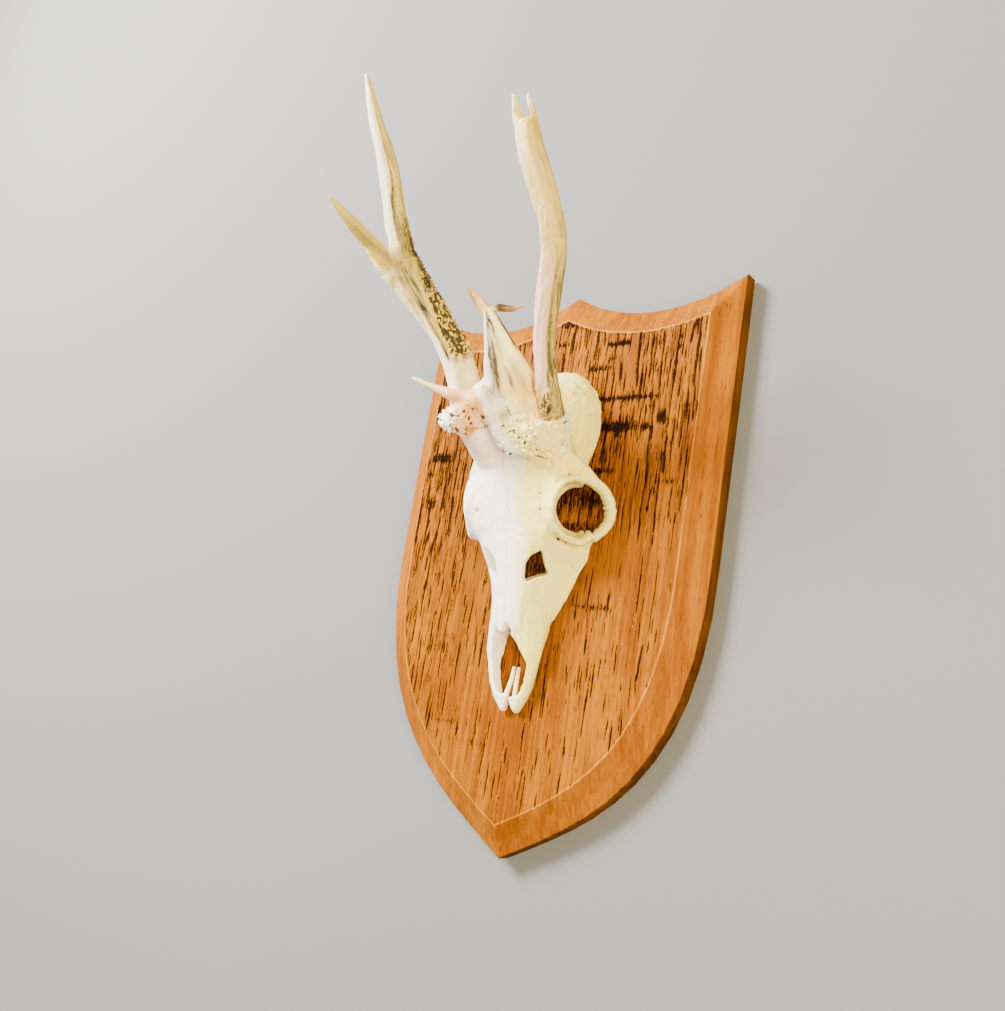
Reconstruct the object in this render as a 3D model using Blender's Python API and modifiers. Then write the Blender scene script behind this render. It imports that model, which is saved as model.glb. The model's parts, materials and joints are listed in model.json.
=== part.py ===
"""Roe deer skull with malformed antlers, mounted on an oak shield.

Metres, +Z up. The shield hangs on a wall: its back lies on the plane y = 0 and its face looks along -Y.
The origin is on that back face, on the shield's centre line. Places are written as (x, out, up) in
millimetres: x across, out from the wall, up from the shield's bottom point. Left and right are the
deer's own, so its right antler stands at -x.
"""

import math

import bmesh
import bpy
from mathutils import Matrix, Vector

MM = 0.001
GAP = 0.3  # clearance between neighbouring pieces
ORIGIN_UP = 160.0  # the origin's height above the shield's bottom point

SHARP_ANGLE = math.radians(24)

# Shield board
BOARD_HALF_WIDTH = 104.2
BOARD_CORNER_UP = 314.2
BOARD_CUSP_UP = 315.3
BOARD_TOP_SAG = 14.4
TIP_ANGLE = math.radians(60.9)  # between the centre line and the edge, at the bottom point
TIP_HANDLE = 57.2
SIDE_START_UP = 160.5  # above this the sides are straight
SIDE_HANDLE = 106.6
BOARD_FACE = 16.8  # the board's thickness
BOARD_EDGE = 9.0  # height of the square edge under the chamfer
CHAMFER_RUN = 14.75
CHAMFER_COVE = 0.5  # how far the chamfer is hollowed
SAWN_BOW = (1.0, -1.9, 0.7)  # the hand-sawn blank's drift at its foot, middle and top
CURVE_STEPS = 12

# Keyhole hanger slot and fixing screws, in the back
KEYHOLE_UP = 262.0
KEYHOLE_RADIUS = 5.5
KEYHOLE_DEPTH = 7.0
KEYHOLE_LIP = 2.4
SLOT_HALF_WIDTH = 2.6
SLOT_LENGTH = 14.0
SCREW_PLACES = {"fixing_screw_upper": (1.0, 238.0), "fixing_screw_lower": (1.0, 142.0)}
SCREW_HEAD_RADIUS = 4.2
SCREW_SHANK_RADIUS = 2.0
SCREW_HEAD_DEPTH = 2.6
SCREW_SINK = 0.4  # the head's depth below the back face
SCREW_REACH = 26.0
TURNED_SIDES = 14

# Skull
MUZZLE_UP = 75.2
MUZZLE_X = 0.6
SKULL_SKEW = 0.02  # the skull's lean off the shield's centre line
SKULL_BASE = BOARD_FACE + GAP
# Stations from the muzzle to the nape: up, crest out, roof edge (x, out), cheek (x, out), base x
SKULL_STATIONS = (
    (MUZZLE_UP, 20.2, 3.6, 20.2, 5.2, 19.4, 4.6),
    (77.5, 21.8, 5.6, 21.8, 8.0, 20.6, 7.0),
    (82.0, 22.8, 7.6, 22.8, 10.8, 21.2, 9.8),
    (89.0, 23.6, 9.2, 23.8, 13.4, 21.8, 11.8),
    (97.0, 25.0, 10.6, 25.2, 15.6, 22.4, 12.8),
    (106.0, 28.4, 11.0, 27.8, 17.8, 23.4, 13.8),
    (114.0, 32.0, 9.6, 30.6, 18.0, 24.2, 15.0),
    (122.0, 34.0, 9.2, 32.4, 17.6, 24.8, 16.8),
    (132.0, 36.0, 9.6, 34.2, 17.4, 26.0, 22.2),
    (143.0, 38.2, 10.8, 36.4, 18.8, 28.0, 27.0),
    (152.0, 40.0, 13.2, 38.4, 22.0, 30.0, 31.4),
    (161.0, 42.0, 17.6, 41.2, 26.4, 32.6, 34.6),
    (169.0, 43.6, 23.4, 44.4, 30.6, 36.0, 35.0),
    (177.0, 46.0, 28.0, 46.6, 31.2, 38.6, 31.0),
    (186.0, 48.0, 30.4, 47.6, 30.6, 39.6, 25.4),
    (195.0, 49.6, 31.4, 47.4, 29.2, 40.0, 23.6),
    (203.0, 51.0, 30.4, 47.6, 26.4, 39.6, 24.0),
    (211.0, 52.0, 25.4, 49.0, 25.0, 38.6, 25.8),
    (221.0, 51.0, 19.6, 48.6, 26.2, 37.2, 28.2),
    (233.0, 46.8, 16.8, 44.6, 27.2, 34.0, 29.6),
    (244.0, 40.8, 14.6, 39.0, 25.0, 30.4, 27.8),
    (253.0, 34.2, 11.6, 33.0, 20.2, 26.6, 23.0),
    (260.0, 27.0, 8.0, 26.2, 13.8, 23.0, 16.2),
    (264.0, 21.4, 4.0, 21.0, 7.2, 19.8, 9.0),
)
SECTION_STEP = 7.5
SIDE_POINTS = 7  # points from the crest to the base on each side of a section

# Eye sockets, with x from the skull's centre line
ORBIT_X = 34.9
ORBIT_OUT = 32.6
ORBIT_UP = 182.4
ORBIT_RADIUS = 15.3
ORBIT_RIM_WIDE = 2.8
ORBIT_RIM_DEEP = 4.6
ORBIT_RIM_BULGE = 2.4  # how far the rim's outer side stands proud of its front and back
ORBIT_NORMAL = Vector((0.79, 0.60, -0.12))
ORBIT_FACETS = (22, 7)
SOCKET_RADIUS = 12.5
SOCKET_FACETS = 18
SOCKET_RUN = Vector((0.60, 0.78, -0.17))
FLOOR_MARGIN = 4.0
ORBIT_BAR = (
    (22.0, 41.0, 207.5, 7.0, 5.0),
    (30.5, 40.5, 204.5, 5.4, 4.2),
    (36.5, 36.0, 200.2, 4.0, 3.2),
    (41.0, 31.0, 195.5, 3.0, 2.8),
)

# Openings in the face, as (x, up) at the bone's surface, with x from the skull's centre line
VACUITY = (
    (7.8, 152.6), (9.0, 142.2), (17.0, 145.0), (24.2, 146.8),
    (20.6, 151.8), (17.0, 160.0), (10.6, 157.0),
)
VACUITY_OUT = 36.0
NOSTRIL = (
    (0.0, 121.5), (4.6, 115.4), (8.6, 119.0), (11.2, 112.0),
    (12.4, 101.0), (11.0, 91.0), (8.0, 84.5), (1.8, 82.5),
)
NOSTRIL_SCALES = (0.86, 1.15)  # at the board and at the top of the cut
MUZZLE_SLOT = 0.9  # half the slit between the two tips
HOLLOW_HALF_WIDTH = 8.2  # under the nasal bones
HOLLOW_TOP = 27.5
HOLLOW_UP = (108.0, 128.0)
PRONG = ((2.9, 19.6, 80.5), (2.7, 19.6, 90.0), (2.4, 19.4, 98.6))
PRONG_RADIUS = 1.15

# Seams between the skull's bones
SEAM_MUZZLE = 100.0
SEAM_BROW = 163.5
SEAM_NAPE = 213.0
SEAM_NASAL = 9.3
SEAM_CHEEK = 31.0
BEYOND = 90.0  # clear of the skull on every side

# Limbs: rows of (x, out, up, half width, half depth)
PEDICLE_RIGHT = (
    (-14.5, 40.0, 207.0, 13.5, 12.0),
    (-15.2, 49.0, 212.0, 11.5, 10.5),
    (-17.0, 59.0, 218.5, 10.0, 9.5),
    (-18.2, 66.5, 223.5, 10.0, 9.5),
)
PEDICLE_LEFT = (
    (19.0, 38.0, 208.0, 13.5, 12.0),
    (20.5, 45.0, 213.0, 13.0, 12.0),
    (22.5, 52.0, 219.5, 12.5, 11.5),
)
BEAM_RIGHT = (
    (-18.0, 68.0, 224.5, 10.2, 9.4),
    (-16.4, 75.0, 236.0, 8.4, 8.0),
    (-18.6, 83.0, 251.0, 8.4, 8.0),
    (-23.4, 89.5, 262.0, 8.0, 7.6),
    (-30.0, 96.0, 274.0, 8.2, 7.4),
    (-37.0, 102.5, 286.5, 8.0, 7.2),
    (-42.2, 109.0, 298.0, 7.2, 6.6),
    (-44.4, 118.0, 314.0, 6.0, 5.8),
    (-44.6, 126.0, 330.0, 5.6, 5.4),
    (-45.0, 133.0, 344.5, 5.0, 4.8),
    (-47.8, 139.5, 358.0, 3.8, 3.6),
    (-51.0, 145.0, 372.5, 2.6, 2.5),
    (-54.6, 149.0, 386.5, 0.7, 0.7),
)
BEAM_RIGHT_SPLIT = 0.47
TINE_RIGHT = (
    (-44.0, 105.0, 291.5, 4.8, 4.6),
    (-50.5, 112.0, 297.5, 4.8, 4.6),
    (-56.0, 122.0, 303.0, 4.3, 4.2),
    (-59.0, 136.0, 309.5, 3.3, 3.3),
    (-62.5, 150.0, 317.5, 0.7, 0.7),
)
BEAM_LEFT = (
    (25.0, 55.0, 226.0, 9.0, 8.4),
    (28.0, 63.0, 237.0, 6.4, 6.2),
    (28.8, 70.0, 249.0, 5.4, 5.4),
    (32.0, 78.0, 262.5, 5.6, 5.6),
    (38.6, 87.5, 278.0, 6.0, 6.0),
    (45.0, 97.0, 293.0, 6.2, 6.2),
    (47.2, 107.0, 307.5, 5.9, 5.8),
    (45.6, 118.5, 325.0, 5.5, 5.2),
    (43.6, 127.0, 338.0, 5.3, 4.2),
    (42.8, 130.5, 344.0, 4.6, 3.0),
)
POINT_LEFT_FRONT = (
    (39.6, 125.5, 338.0, 2.2, 2.2),
    (38.2, 130.5, 345.5, 2.7, 2.6),
    (39.4, 137.5, 353.0, 0.7, 0.7),
)
POINT_LEFT_REAR = (
    (45.6, 124.0, 339.5, 1.9, 1.9),
    (45.2, 128.5, 347.0, 2.1, 2.1),
    (44.2, 133.0, 355.0, 0.7, 0.7),
)
# Coronets: centre, half width, half depth, height, lumps round the rim, and the way the collar faces
CORONET_RIGHT = ((-18.6, 68.0, 224.5), 16.4, 14.4, 11.5, 7, (0.0, 0.62, 0.78))
CORONET_LEFT = ((22.4, 54.0, 221.5), 20.0, 17.0, 13.5, 8, (0.20, 0.66, 0.72))
CORONET_PROFILE = ((-0.50, 0.66), (-0.34, 0.92), (0.0, 1.0), (0.34, 0.88), (0.50, 0.62))
GROWTH_BASE = (
    (5.0, 46.0, 213.0, 15.0, 8.5),
    (3.5, 54.0, 219.0, 14.0, 8.8),
    (1.0, 65.0, 227.5, 11.5, 7.8),
    (-1.0, 73.0, 234.5, 8.6, 6.4),
    (-1.5, 77.0, 238.0, 5.5, 4.5),
)
SPIKE_SIDE = (
    (2.0, 69.0, 229.0, 4.6, 4.4),
    (-9.0, 76.5, 230.5, 4.4, 4.2),
    (-20.5, 83.0, 232.0, 3.6, 3.4),
    (-31.0, 88.0, 235.5, 2.4, 2.3),
    (-40.0, 92.0, 239.0, 0.6, 0.6),
)
SPIKE_UP = (
    (3.5, 68.0, 228.0, 6.4, 6.0),
    (4.5, 76.0, 240.0, 5.8, 5.2),
    (5.0, 84.0, 253.5, 4.1, 3.8),
    (5.5, 90.5, 263.5, 2.4, 2.2),
    (5.0, 94.0, 270.0, 0.6, 0.6),
)
BLADE = (
    (21.0, 58.0, 229.0, 11.0, 6.0),
    (17.5, 65.0, 239.0, 9.0, 4.8),
    (8.6, 72.0, 256.0, 6.4, 3.6),
    (-1.0, 78.5, 272.0, 5.0, 3.0),
    (-9.0, 82.5, 281.0, 3.6, 2.4),
    (-16.5, 86.0, 289.5, 0.7, 0.7),
)
HOOK = (
    (-5.0, 79.5, 277.5, 2.0, 1.8),
    (0.0, 78.0, 279.5, 2.2, 2.0),
    (5.5, 74.5, 279.5, 1.8, 1.6),
    (10.5, 72.0, 281.5, 0.5, 0.5),
)
LIMB_SIDES = 10
LIMB_STEP = 8.5

# Finishes: base colour, roughness, metallic
FINISHES = {
    "bone": ((0.86, 0.82, 0.68), 0.62, 0.0),
    "antler": ((0.63, 0.54, 0.36), 0.58, 0.0),
    "oak": ((0.62, 0.27, 0.05), 0.38, 0.0),
    "steel": ((0.55, 0.55, 0.56), 0.35, 1.0),
}


def spot(x, out, up):
    """The world point for millimetres across, out from the wall and up from the shield's bottom point."""
    return Vector((x, -out, up - ORIGIN_UP)) * MM


def skull_x(up):
    """The skull's centre line at this height."""
    return MUZZLE_X + SKULL_SKEW * (up - MUZZLE_UP)


def finish(name):
    """The material of that name, made on first use."""
    if name in bpy.data.materials:
        return bpy.data.materials[name]
    colour, roughness, metallic = FINISHES[name]
    material = bpy.data.materials.new(name)
    material.use_nodes = True
    shader = material.node_tree.nodes["Principled BSDF"]
    shader.inputs["Base Color"].default_value = (*colour, 1.0)
    shader.inputs["Roughness"].default_value = roughness
    shader.inputs["Metallic"].default_value = metallic
    return material


class Workshop:
    """Holds the collections for the parts and for the hidden cutters, and adds objects to them."""

    def __init__(self):
        for obj in list(bpy.data.objects):
            bpy.data.objects.remove(obj, do_unlink=True)
        self.parts = bpy.data.collections.new("roe_skull_on_shield")
        self.cutters = bpy.data.collections.new("cutters")
        for collection in (self.parts, self.cutters):
            bpy.context.scene.collection.children.link(collection)

    def add(self, name, mesh, material=None):
        """Adds a mesh as a part, or as a hidden cutter where it has no material."""
        obj = bpy.data.objects.new(name, mesh)
        if material is None:
            self.cutters.objects.link(obj)
            obj.hide_render = True
            obj.display_type = "WIRE"
            return obj
        self.parts.objects.link(obj)
        mesh.materials.clear()
        mesh.materials.append(finish(material))
        mesh.shade_smooth()
        mesh.set_sharp_from_angle(angle=SHARP_ANGLE)
        return obj


def combine(target, other, operation="DIFFERENCE", solver="EXACT"):
    """Adds a Boolean of another object to the target."""
    boolean = target.modifiers.new(f"{operation.lower()} {other.name}", "BOOLEAN")
    boolean.operation = operation
    boolean.solver = solver
    boolean.object = other


def closed_mesh(name, shape):
    """A mesh from the bmesh, in triangles that face outwards, and the bmesh freed."""
    bmesh.ops.triangulate(shape, faces=shape.faces)
    bmesh.ops.recalc_face_normals(shape, faces=shape.faces)
    if shape.calc_volume(signed=True) < 0:
        bmesh.ops.reverse_faces(shape, faces=shape.faces)
    mesh = bpy.data.meshes.new(name)
    shape.to_mesh(mesh)
    shape.free()
    return mesh


def loft(rings):
    """A closed mesh through rings of equal length, with a flat cap on each end."""
    shape = bmesh.new()
    loops = [[shape.verts.new(point) for point in ring] for ring in rings]
    count = len(rings[0])
    for lower, upper in zip(loops, loops[1:]):
        for index in range(count):
            after = (index + 1) % count
            shape.faces.new((lower[index], lower[after], upper[after], upper[index]))
    shape.faces.new(loops[0])
    shape.faces.new(loops[-1])
    return closed_mesh("loft", shape)


def catmull_rom(before, start, end, after, t):
    """The value at a share t between start and end of a smooth curve through all four."""
    bend = 2 * before - 5 * start + 4 * end - after
    twist = 3 * start - 3 * end + after - before
    return 0.5 * (2 * start + (end - before) * t + bend * t**2 + twist * t**3)


def smooth_rows(rows, step):
    """Rows resampled along a smooth curve through them, about one step of length apart."""
    padded = [rows[0], *rows, rows[-1]]
    result = []
    for before, start, end, after in zip(padded, padded[1:], padded[2:], padded[3:]):
        length = math.dist(start[:3], end[:3])
        pieces = max(1, round(length / step))
        for index in range(pieces):
            share = index / pieces
            columns = zip(before, start, end, after)
            result.append(tuple(catmull_rom(*column, share) for column in columns))
    result.append(tuple(rows[-1]))
    return result


def limb_rings(rows, grow=0.0):
    """Elliptical rings round a smooth line through the rows, made larger all round by grow."""
    centres = [Vector(row[:3]) for row in rows]
    last = len(rows) - 1
    across = Vector((1.0, 0.0, 0.0))
    rings = []
    for index, row in enumerate(rows):
        along = (centres[min(index + 1, last)] - centres[max(index - 1, 0)]).normalized()
        across = (across - along * across.dot(along)).normalized()
        deep = along.cross(across)
        centre = centres[index]
        if grow and index in (0, last):
            centre = centre + along * (grow if index else -grow)
        ring = []
        for side in range(LIMB_SIDES):
            angle = math.tau * side / LIMB_SIDES
            offset = across * (row[3] + grow) * math.cos(angle) + deep * (row[4] + grow) * math.sin(angle)
            ring.append(spot(*(centre + offset)))
        rings.append(ring)
    return rings


def limb(shop, name, rows, material="antler"):
    """A tapering limb, with a slightly larger hidden copy of it for cutting its neighbours."""
    rows = smooth_rows(rows, LIMB_STEP)
    obj = shop.add(name, loft(limb_rings(rows)), material)
    cutter = shop.add(f"room for {name}", loft(limb_rings(rows, GAP)))
    return obj, cutter


def split_limb(shop, names, rows, share, material="antler"):
    """One limb in two lengths, parted across its line at a share of the way along."""
    rows = smooth_rows(rows, LIMB_STEP)
    middle = round(share * len(rows))
    rings = limb_rings(rows)
    direction = (Vector(rows[middle + 1][:3]) - Vector(rows[middle - 1][:3])).normalized()
    shift = spot(*(direction * GAP)) - spot(0, 0, 0)
    upper = [[point + shift for point in rings[middle]], *rings[middle + 1 :]]
    base = shop.add(names[0], loft(rings[: middle + 1]), material)
    tip = shop.add(names[1], loft(upper), material)
    cutter = shop.add(f"room for {names[0]}", loft(limb_rings(rows, GAP)))
    return base, tip, cutter


def coronet(shop, name, centre, wide, deep, height, lobes, lean):
    """A knobbly burr: a short turned collar whose rim swells and shrinks round its axis."""
    along = Vector(lean).normalized()
    across = (Vector((1.0, 0.0, 0.0)) - along * along.x).normalized()
    other = along.cross(across)
    sides = lobes * 3

    def rings(grow):
        result = []
        for level, (height_share, width_share) in enumerate(CORONET_PROFILE):
            ring = []
            for side in range(sides):
                angle = math.tau * side / sides
                lump = 1 + 0.05 * math.cos(lobes * angle + 0.5 * level) + 0.04 * math.sin(2 * angle + level)
                reach = across * (wide * width_share * lump + grow) * math.cos(angle)
                reach += other * (deep * width_share * lump + grow) * math.sin(angle)
                end = grow if level == len(CORONET_PROFILE) - 1 else -grow if level == 0 else 0.0
                reach += along * (height * height_share + end)
                ring.append(spot(*(Vector(centre) + reach)))
            result.append(ring)
        return result

    return shop.add(name, loft(rings(0.0)), "antler"), shop.add(f"room for {name}", loft(rings(GAP)))


def bow(up):
    """How far the hand-sawn board drifts sideways at this height."""
    share = up / BOARD_CORNER_UP
    foot, middle, top = SAWN_BOW
    ends = foot * (1 - share) * (1 - 2 * share) + top * share * (2 * share - 1)
    return ends + middle * 4 * share * (1 - share)


def side_curve(t, inset):
    """A point of the shield's curved lower side, moved inwards by the inset."""
    start, end = Vector((0.0, 0.0)), Vector((BOARD_HALF_WIDTH, SIDE_START_UP))
    lower = Vector((math.sin(TIP_ANGLE), math.cos(TIP_ANGLE))) * TIP_HANDLE
    upper = end - Vector((0.0, SIDE_HANDLE))
    point = start * (1 - t) ** 3 + lower * 3 * t * (1 - t) ** 2 + upper * 3 * t**2 * (1 - t) + end * t**3
    slope = (lower - start) * (1 - t) ** 2 + (upper - lower) * 2 * t * (1 - t) + (end - upper) * t**2
    slope.normalize()
    return point + Vector((-slope.y, slope.x)) * inset


def half_outline(inset):
    """The shield's right half as (x, up) points from the bottom point to the middle of the top."""
    low, high = 0.0, 1.0
    for _ in range(40):
        middle = (low + high) / 2
        low, high = (middle, high) if side_curve(middle, inset).x < 0 else (low, middle)
    points = [side_curve(high + (1 - high) * step / CURVE_STEPS, inset) for step in range(CURVE_STEPS + 1)]
    points[0].x = 0.0
    chord = Vector((BOARD_HALF_WIDTH, BOARD_CORNER_UP - BOARD_CUSP_UP))
    radius = (chord.length_squared / 4 + BOARD_TOP_SAG**2) / (2 * BOARD_TOP_SAG)
    normal = Vector((-chord.y, chord.x)).normalized()
    centre = Vector((0.0, BOARD_CUSP_UP)) + chord / 2 + normal * (radius - BOARD_TOP_SAG)
    radius += inset
    corner = BOARD_HALF_WIDTH - inset
    for step in range(CURVE_STEPS + 1):
        x = corner * (1 - step / CURVE_STEPS)
        points.append(Vector((x, centre.y - math.sqrt(radius**2 - (x - centre.x) ** 2))))
    return points


def board_ring(inset, out):
    """The whole outline at this distance from the wall."""
    right = half_outline(inset)
    left = [Vector((-point.x, point.y)) for point in reversed(right[1:-1])]
    return [spot(point.x + bow(point.y), out, point.y) for point in (*right, *left)]


def box(shop, name, low, high):
    """A hidden box cutter between two (x, out, up) corners."""
    shape = bmesh.new()
    first, second = spot(*low), spot(*high)
    size = (*(abs(length) for length in second - first), 1.0)
    place = Matrix.Translation((first + second) / 2) @ Matrix.Diagonal(size)
    bmesh.ops.create_cube(shape, size=1.0, matrix=place)
    return shop.add(name, closed_mesh(name, shape))


def turned(shop, name, profile, place, material=None):
    """A shape turned about a line square to the wall, from (radius, out) steps that lead away from it."""
    closed = [(0.0, profile[0][1]), *profile, (0.0, profile[-1][1])]
    points = [Vector((radius, 0.0, out)) * MM for radius, out in reversed(closed)]
    mesh = bpy.data.meshes.new(name)
    mesh.from_pydata(points, [(index, index + 1) for index in range(len(points) - 1)], [])
    obj = shop.add(name, mesh, material)
    obj.location = spot(place[0], 0.0, place[1])
    obj.rotation_euler.x = math.radians(90)
    screw = obj.modifiers.new("turn", "SCREW")
    screw.steps = screw.render_steps = TURNED_SIDES
    screw.use_merge_vertices = True
    screw.merge_threshold = 0.00005
    return obj


def make_board(shop):
    """The chamfered shield with its screw holes and keyhole slot."""
    middle_out = (BOARD_EDGE + BOARD_FACE) / 2 - CHAMFER_COVE
    steps = ((0.0, 0.0), (0.0, BOARD_EDGE), (CHAMFER_RUN / 2, middle_out), (CHAMFER_RUN, BOARD_FACE))
    board = shop.add("shield_board", loft([board_ring(inset, out) for inset, out in steps]), "oak")
    for name, place in SCREW_PLACES.items():
        combine(board, turned(shop, f"hole for {name}", screw_profile(GAP), place))
    entry = ((KEYHOLE_RADIUS, -1.0), (KEYHOLE_RADIUS, KEYHOLE_DEPTH))
    combine(board, turned(shop, "keyhole entry", entry, (0.0, KEYHOLE_UP)))
    slot_end = KEYHOLE_UP + SLOT_LENGTH
    slot_high = (SLOT_HALF_WIDTH, KEYHOLE_DEPTH, slot_end)
    combine(board, box(shop, "keyhole neck", (-SLOT_HALF_WIDTH, -1.0, KEYHOLE_UP), slot_high))
    room = KEYHOLE_RADIUS - 0.8
    undercut_high = (room, KEYHOLE_DEPTH - 0.1, slot_end)
    combine(board, box(shop, "keyhole undercut", (-room, KEYHOLE_LIP, KEYHOLE_UP), undercut_high))
    return board


def screw_profile(grow):
    """A countersunk screw's (radius, out) steps, or its hole's where grown."""
    head_start = -1.0 if grow else SCREW_SINK
    return (
        (SCREW_HEAD_RADIUS + grow, head_start),
        (SCREW_HEAD_RADIUS + grow, SCREW_SINK + 0.6),
        (SCREW_SHANK_RADIUS + grow, SCREW_SINK + SCREW_HEAD_DEPTH),
        (SCREW_SHANK_RADIUS + grow, SCREW_REACH + grow),
    )


def make_screws(shop):
    """The two countersunk screws that hold the skull from behind, with their driver slots."""
    cutters = []
    for name, (x, up) in SCREW_PLACES.items():
        screw = turned(shop, name, screw_profile(0.0), (x, up), "steel")
        slot_high = (x + 6.0, SCREW_SINK + 0.9, up + 0.5)
        combine(screw, box(shop, f"slot of {name}", (x - 6.0, -1.0, up - 0.5), slot_high))
        cutters.append(bpy.data.objects[f"hole for {name}"])
    return cutters


def section(crest, roof, cheek, base_x):
    """Half a skull section as (x, out) points from the crest to just above the base corner."""
    shoulder = (roof[0] * 0.55, crest + (roof[1] - crest) * 0.25)
    rows = [(0.0, crest), shoulder, roof, cheek, (base_x, SKULL_BASE)]
    dense = smooth_rows([(x, out, 0.0) for x, out in rows], 3.0)
    total = sum(math.dist(a, b) for a, b in zip(dense, dense[1:]))
    points, walked, index = [], 0.0, 0
    for want in range(SIDE_POINTS):
        target = total * want / SIDE_POINTS
        while walked + math.dist(dense[index], dense[index + 1]) < target:
            walked += math.dist(dense[index], dense[index + 1])
            index += 1
        share = (target - walked) / math.dist(dense[index], dense[index + 1])
        points.append(tuple(a + (b - a) * share for a, b in zip(dense[index][:2], dense[index + 1][:2])))
    return points


def skull_rings():
    """Rings of the whole skull, muzzle to nape, flat where it is sawn off against the board."""
    rings = []
    rows = smooth_rows([(row[0], 0.0, 0.0, *row[1:]) for row in SKULL_STATIONS], SECTION_STEP)
    for up, _, _, crest, roof_x, roof_out, cheek_x, cheek_out, base_x in rows:
        side = section(crest, (roof_x, roof_out), (cheek_x, cheek_out), base_x)
        corner = (base_x, SKULL_BASE)
        right = [*side, corner]
        left = [(-x, out) for x, out in (corner, *reversed(side[1:]))]
        middle = [(0.0, SKULL_BASE)]
        rings.append([spot(skull_x(up) + x, out, up) for x, out in (*right, *middle, *left)])
    return rings


def frame_axes(normal):
    """Two directions square to a normal: the first as near to straight up as it can be."""
    upward = (Vector((0.0, 0.0, 1.0)) - normal * normal.z).normalized()
    return upward, normal.cross(upward)


def facing(direction, side):
    """A unit (x, out, up) direction, mirrored for the deer's right side."""
    return Vector((direction.x * side, direction.y, direction.z)).normalized()


def orbit_centre(side):
    """The middle of one eye socket's rim."""
    return Vector((skull_x(ORBIT_UP) + side * ORBIT_X, ORBIT_OUT, ORBIT_UP))


def orbit_rim(side):
    """The ring of bone round one eye socket, bulging where it stands out sideways."""
    normal = facing(ORBIT_NORMAL, side)
    upward, sideways = frame_axes(normal)
    centre = orbit_centre(side)
    segments, facets = ORBIT_FACETS
    shape = bmesh.new()
    loops = []
    for segment in range(segments):
        turn = math.tau * segment / segments
        outward = upward * math.cos(turn) + sideways * math.sin(turn)
        bulge = ORBIT_RIM_BULGE * math.sin(turn) ** 2
        loop = []
        for facet in range(facets):
            angle = math.tau * facet / facets
            reach = ORBIT_RADIUS + ORBIT_RIM_WIDE * math.cos(angle)
            point = centre + outward * reach + normal * (ORBIT_RIM_DEEP * math.sin(angle) + bulge)
            point.y = max(point.y, SKULL_BASE)
            loop.append(shape.verts.new(spot(*point)))
        loops.append(loop)
    for index, loop in enumerate(loops):
        following = loops[(index + 1) % segments]
        for facet in range(facets):
            after = (facet + 1) % facets
            shape.faces.new((loop[facet], loop[after], following[after], following[facet]))
    return closed_mesh("orbit rim", shape)


def socket(side):
    """The slanting hollow through one eye socket down to the board."""
    run = facing(SOCKET_RUN, side)
    upward, sideways = frame_axes(run)
    centre = orbit_centre(side)
    depth = (ORBIT_OUT - SKULL_BASE + FLOOR_MARGIN) / run.y + SOCKET_RADIUS
    rings = []
    for distance in (-depth, 2 * SOCKET_RADIUS):
        ring = []
        for facet in range(SOCKET_FACETS):
            angle = math.tau * facet / SOCKET_FACETS
            reach = upward * math.cos(angle) + sideways * math.sin(angle)
            ring.append(spot(*(centre + run * distance + reach * SOCKET_RADIUS)))
        rings.append(ring)
    return loft(rings)


def vacuity(side):
    """The slanting gap in front of one eye socket, down to the board."""
    run = facing(SOCKET_RUN, side)
    rings = []
    for out in (SKULL_BASE - FLOOR_MARGIN, VACUITY_OUT + 3 * FLOOR_MARGIN):
        slide = (out - VACUITY_OUT) / run.y
        ring = [spot(skull_x(up) + side * x + run.x * slide, out, up + run.z * slide) for x, up in VACUITY]
        rings.append(ring)
    return loft(rings)


def nostril():
    """The long opening between the two halves of the muzzle, narrower at the board."""
    outline = [*NOSTRIL, (MUZZLE_SLOT, NOSTRIL[-1][1]), (MUZZLE_SLOT, MUZZLE_UP - FLOOR_MARGIN)]
    rings = []
    for out, scale in zip((SKULL_BASE - FLOOR_MARGIN, BEYOND), NOSTRIL_SCALES):
        right = [(x * scale if x > 2 * MUZZLE_SLOT else x, up) for x, up in outline]
        left = [(-x, up) for x, up in reversed(right[1:])]
        rings.append([spot(skull_x(up) + x, out, up) for x, up in (*right, *left)])
    return loft(rings)


def shift_to_skull(rows, side):
    """Limb rows given from the skull's centre line, on one side of it."""
    return [(skull_x(row[2]) + side * row[0], *row[1:]) for row in rows]


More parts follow.
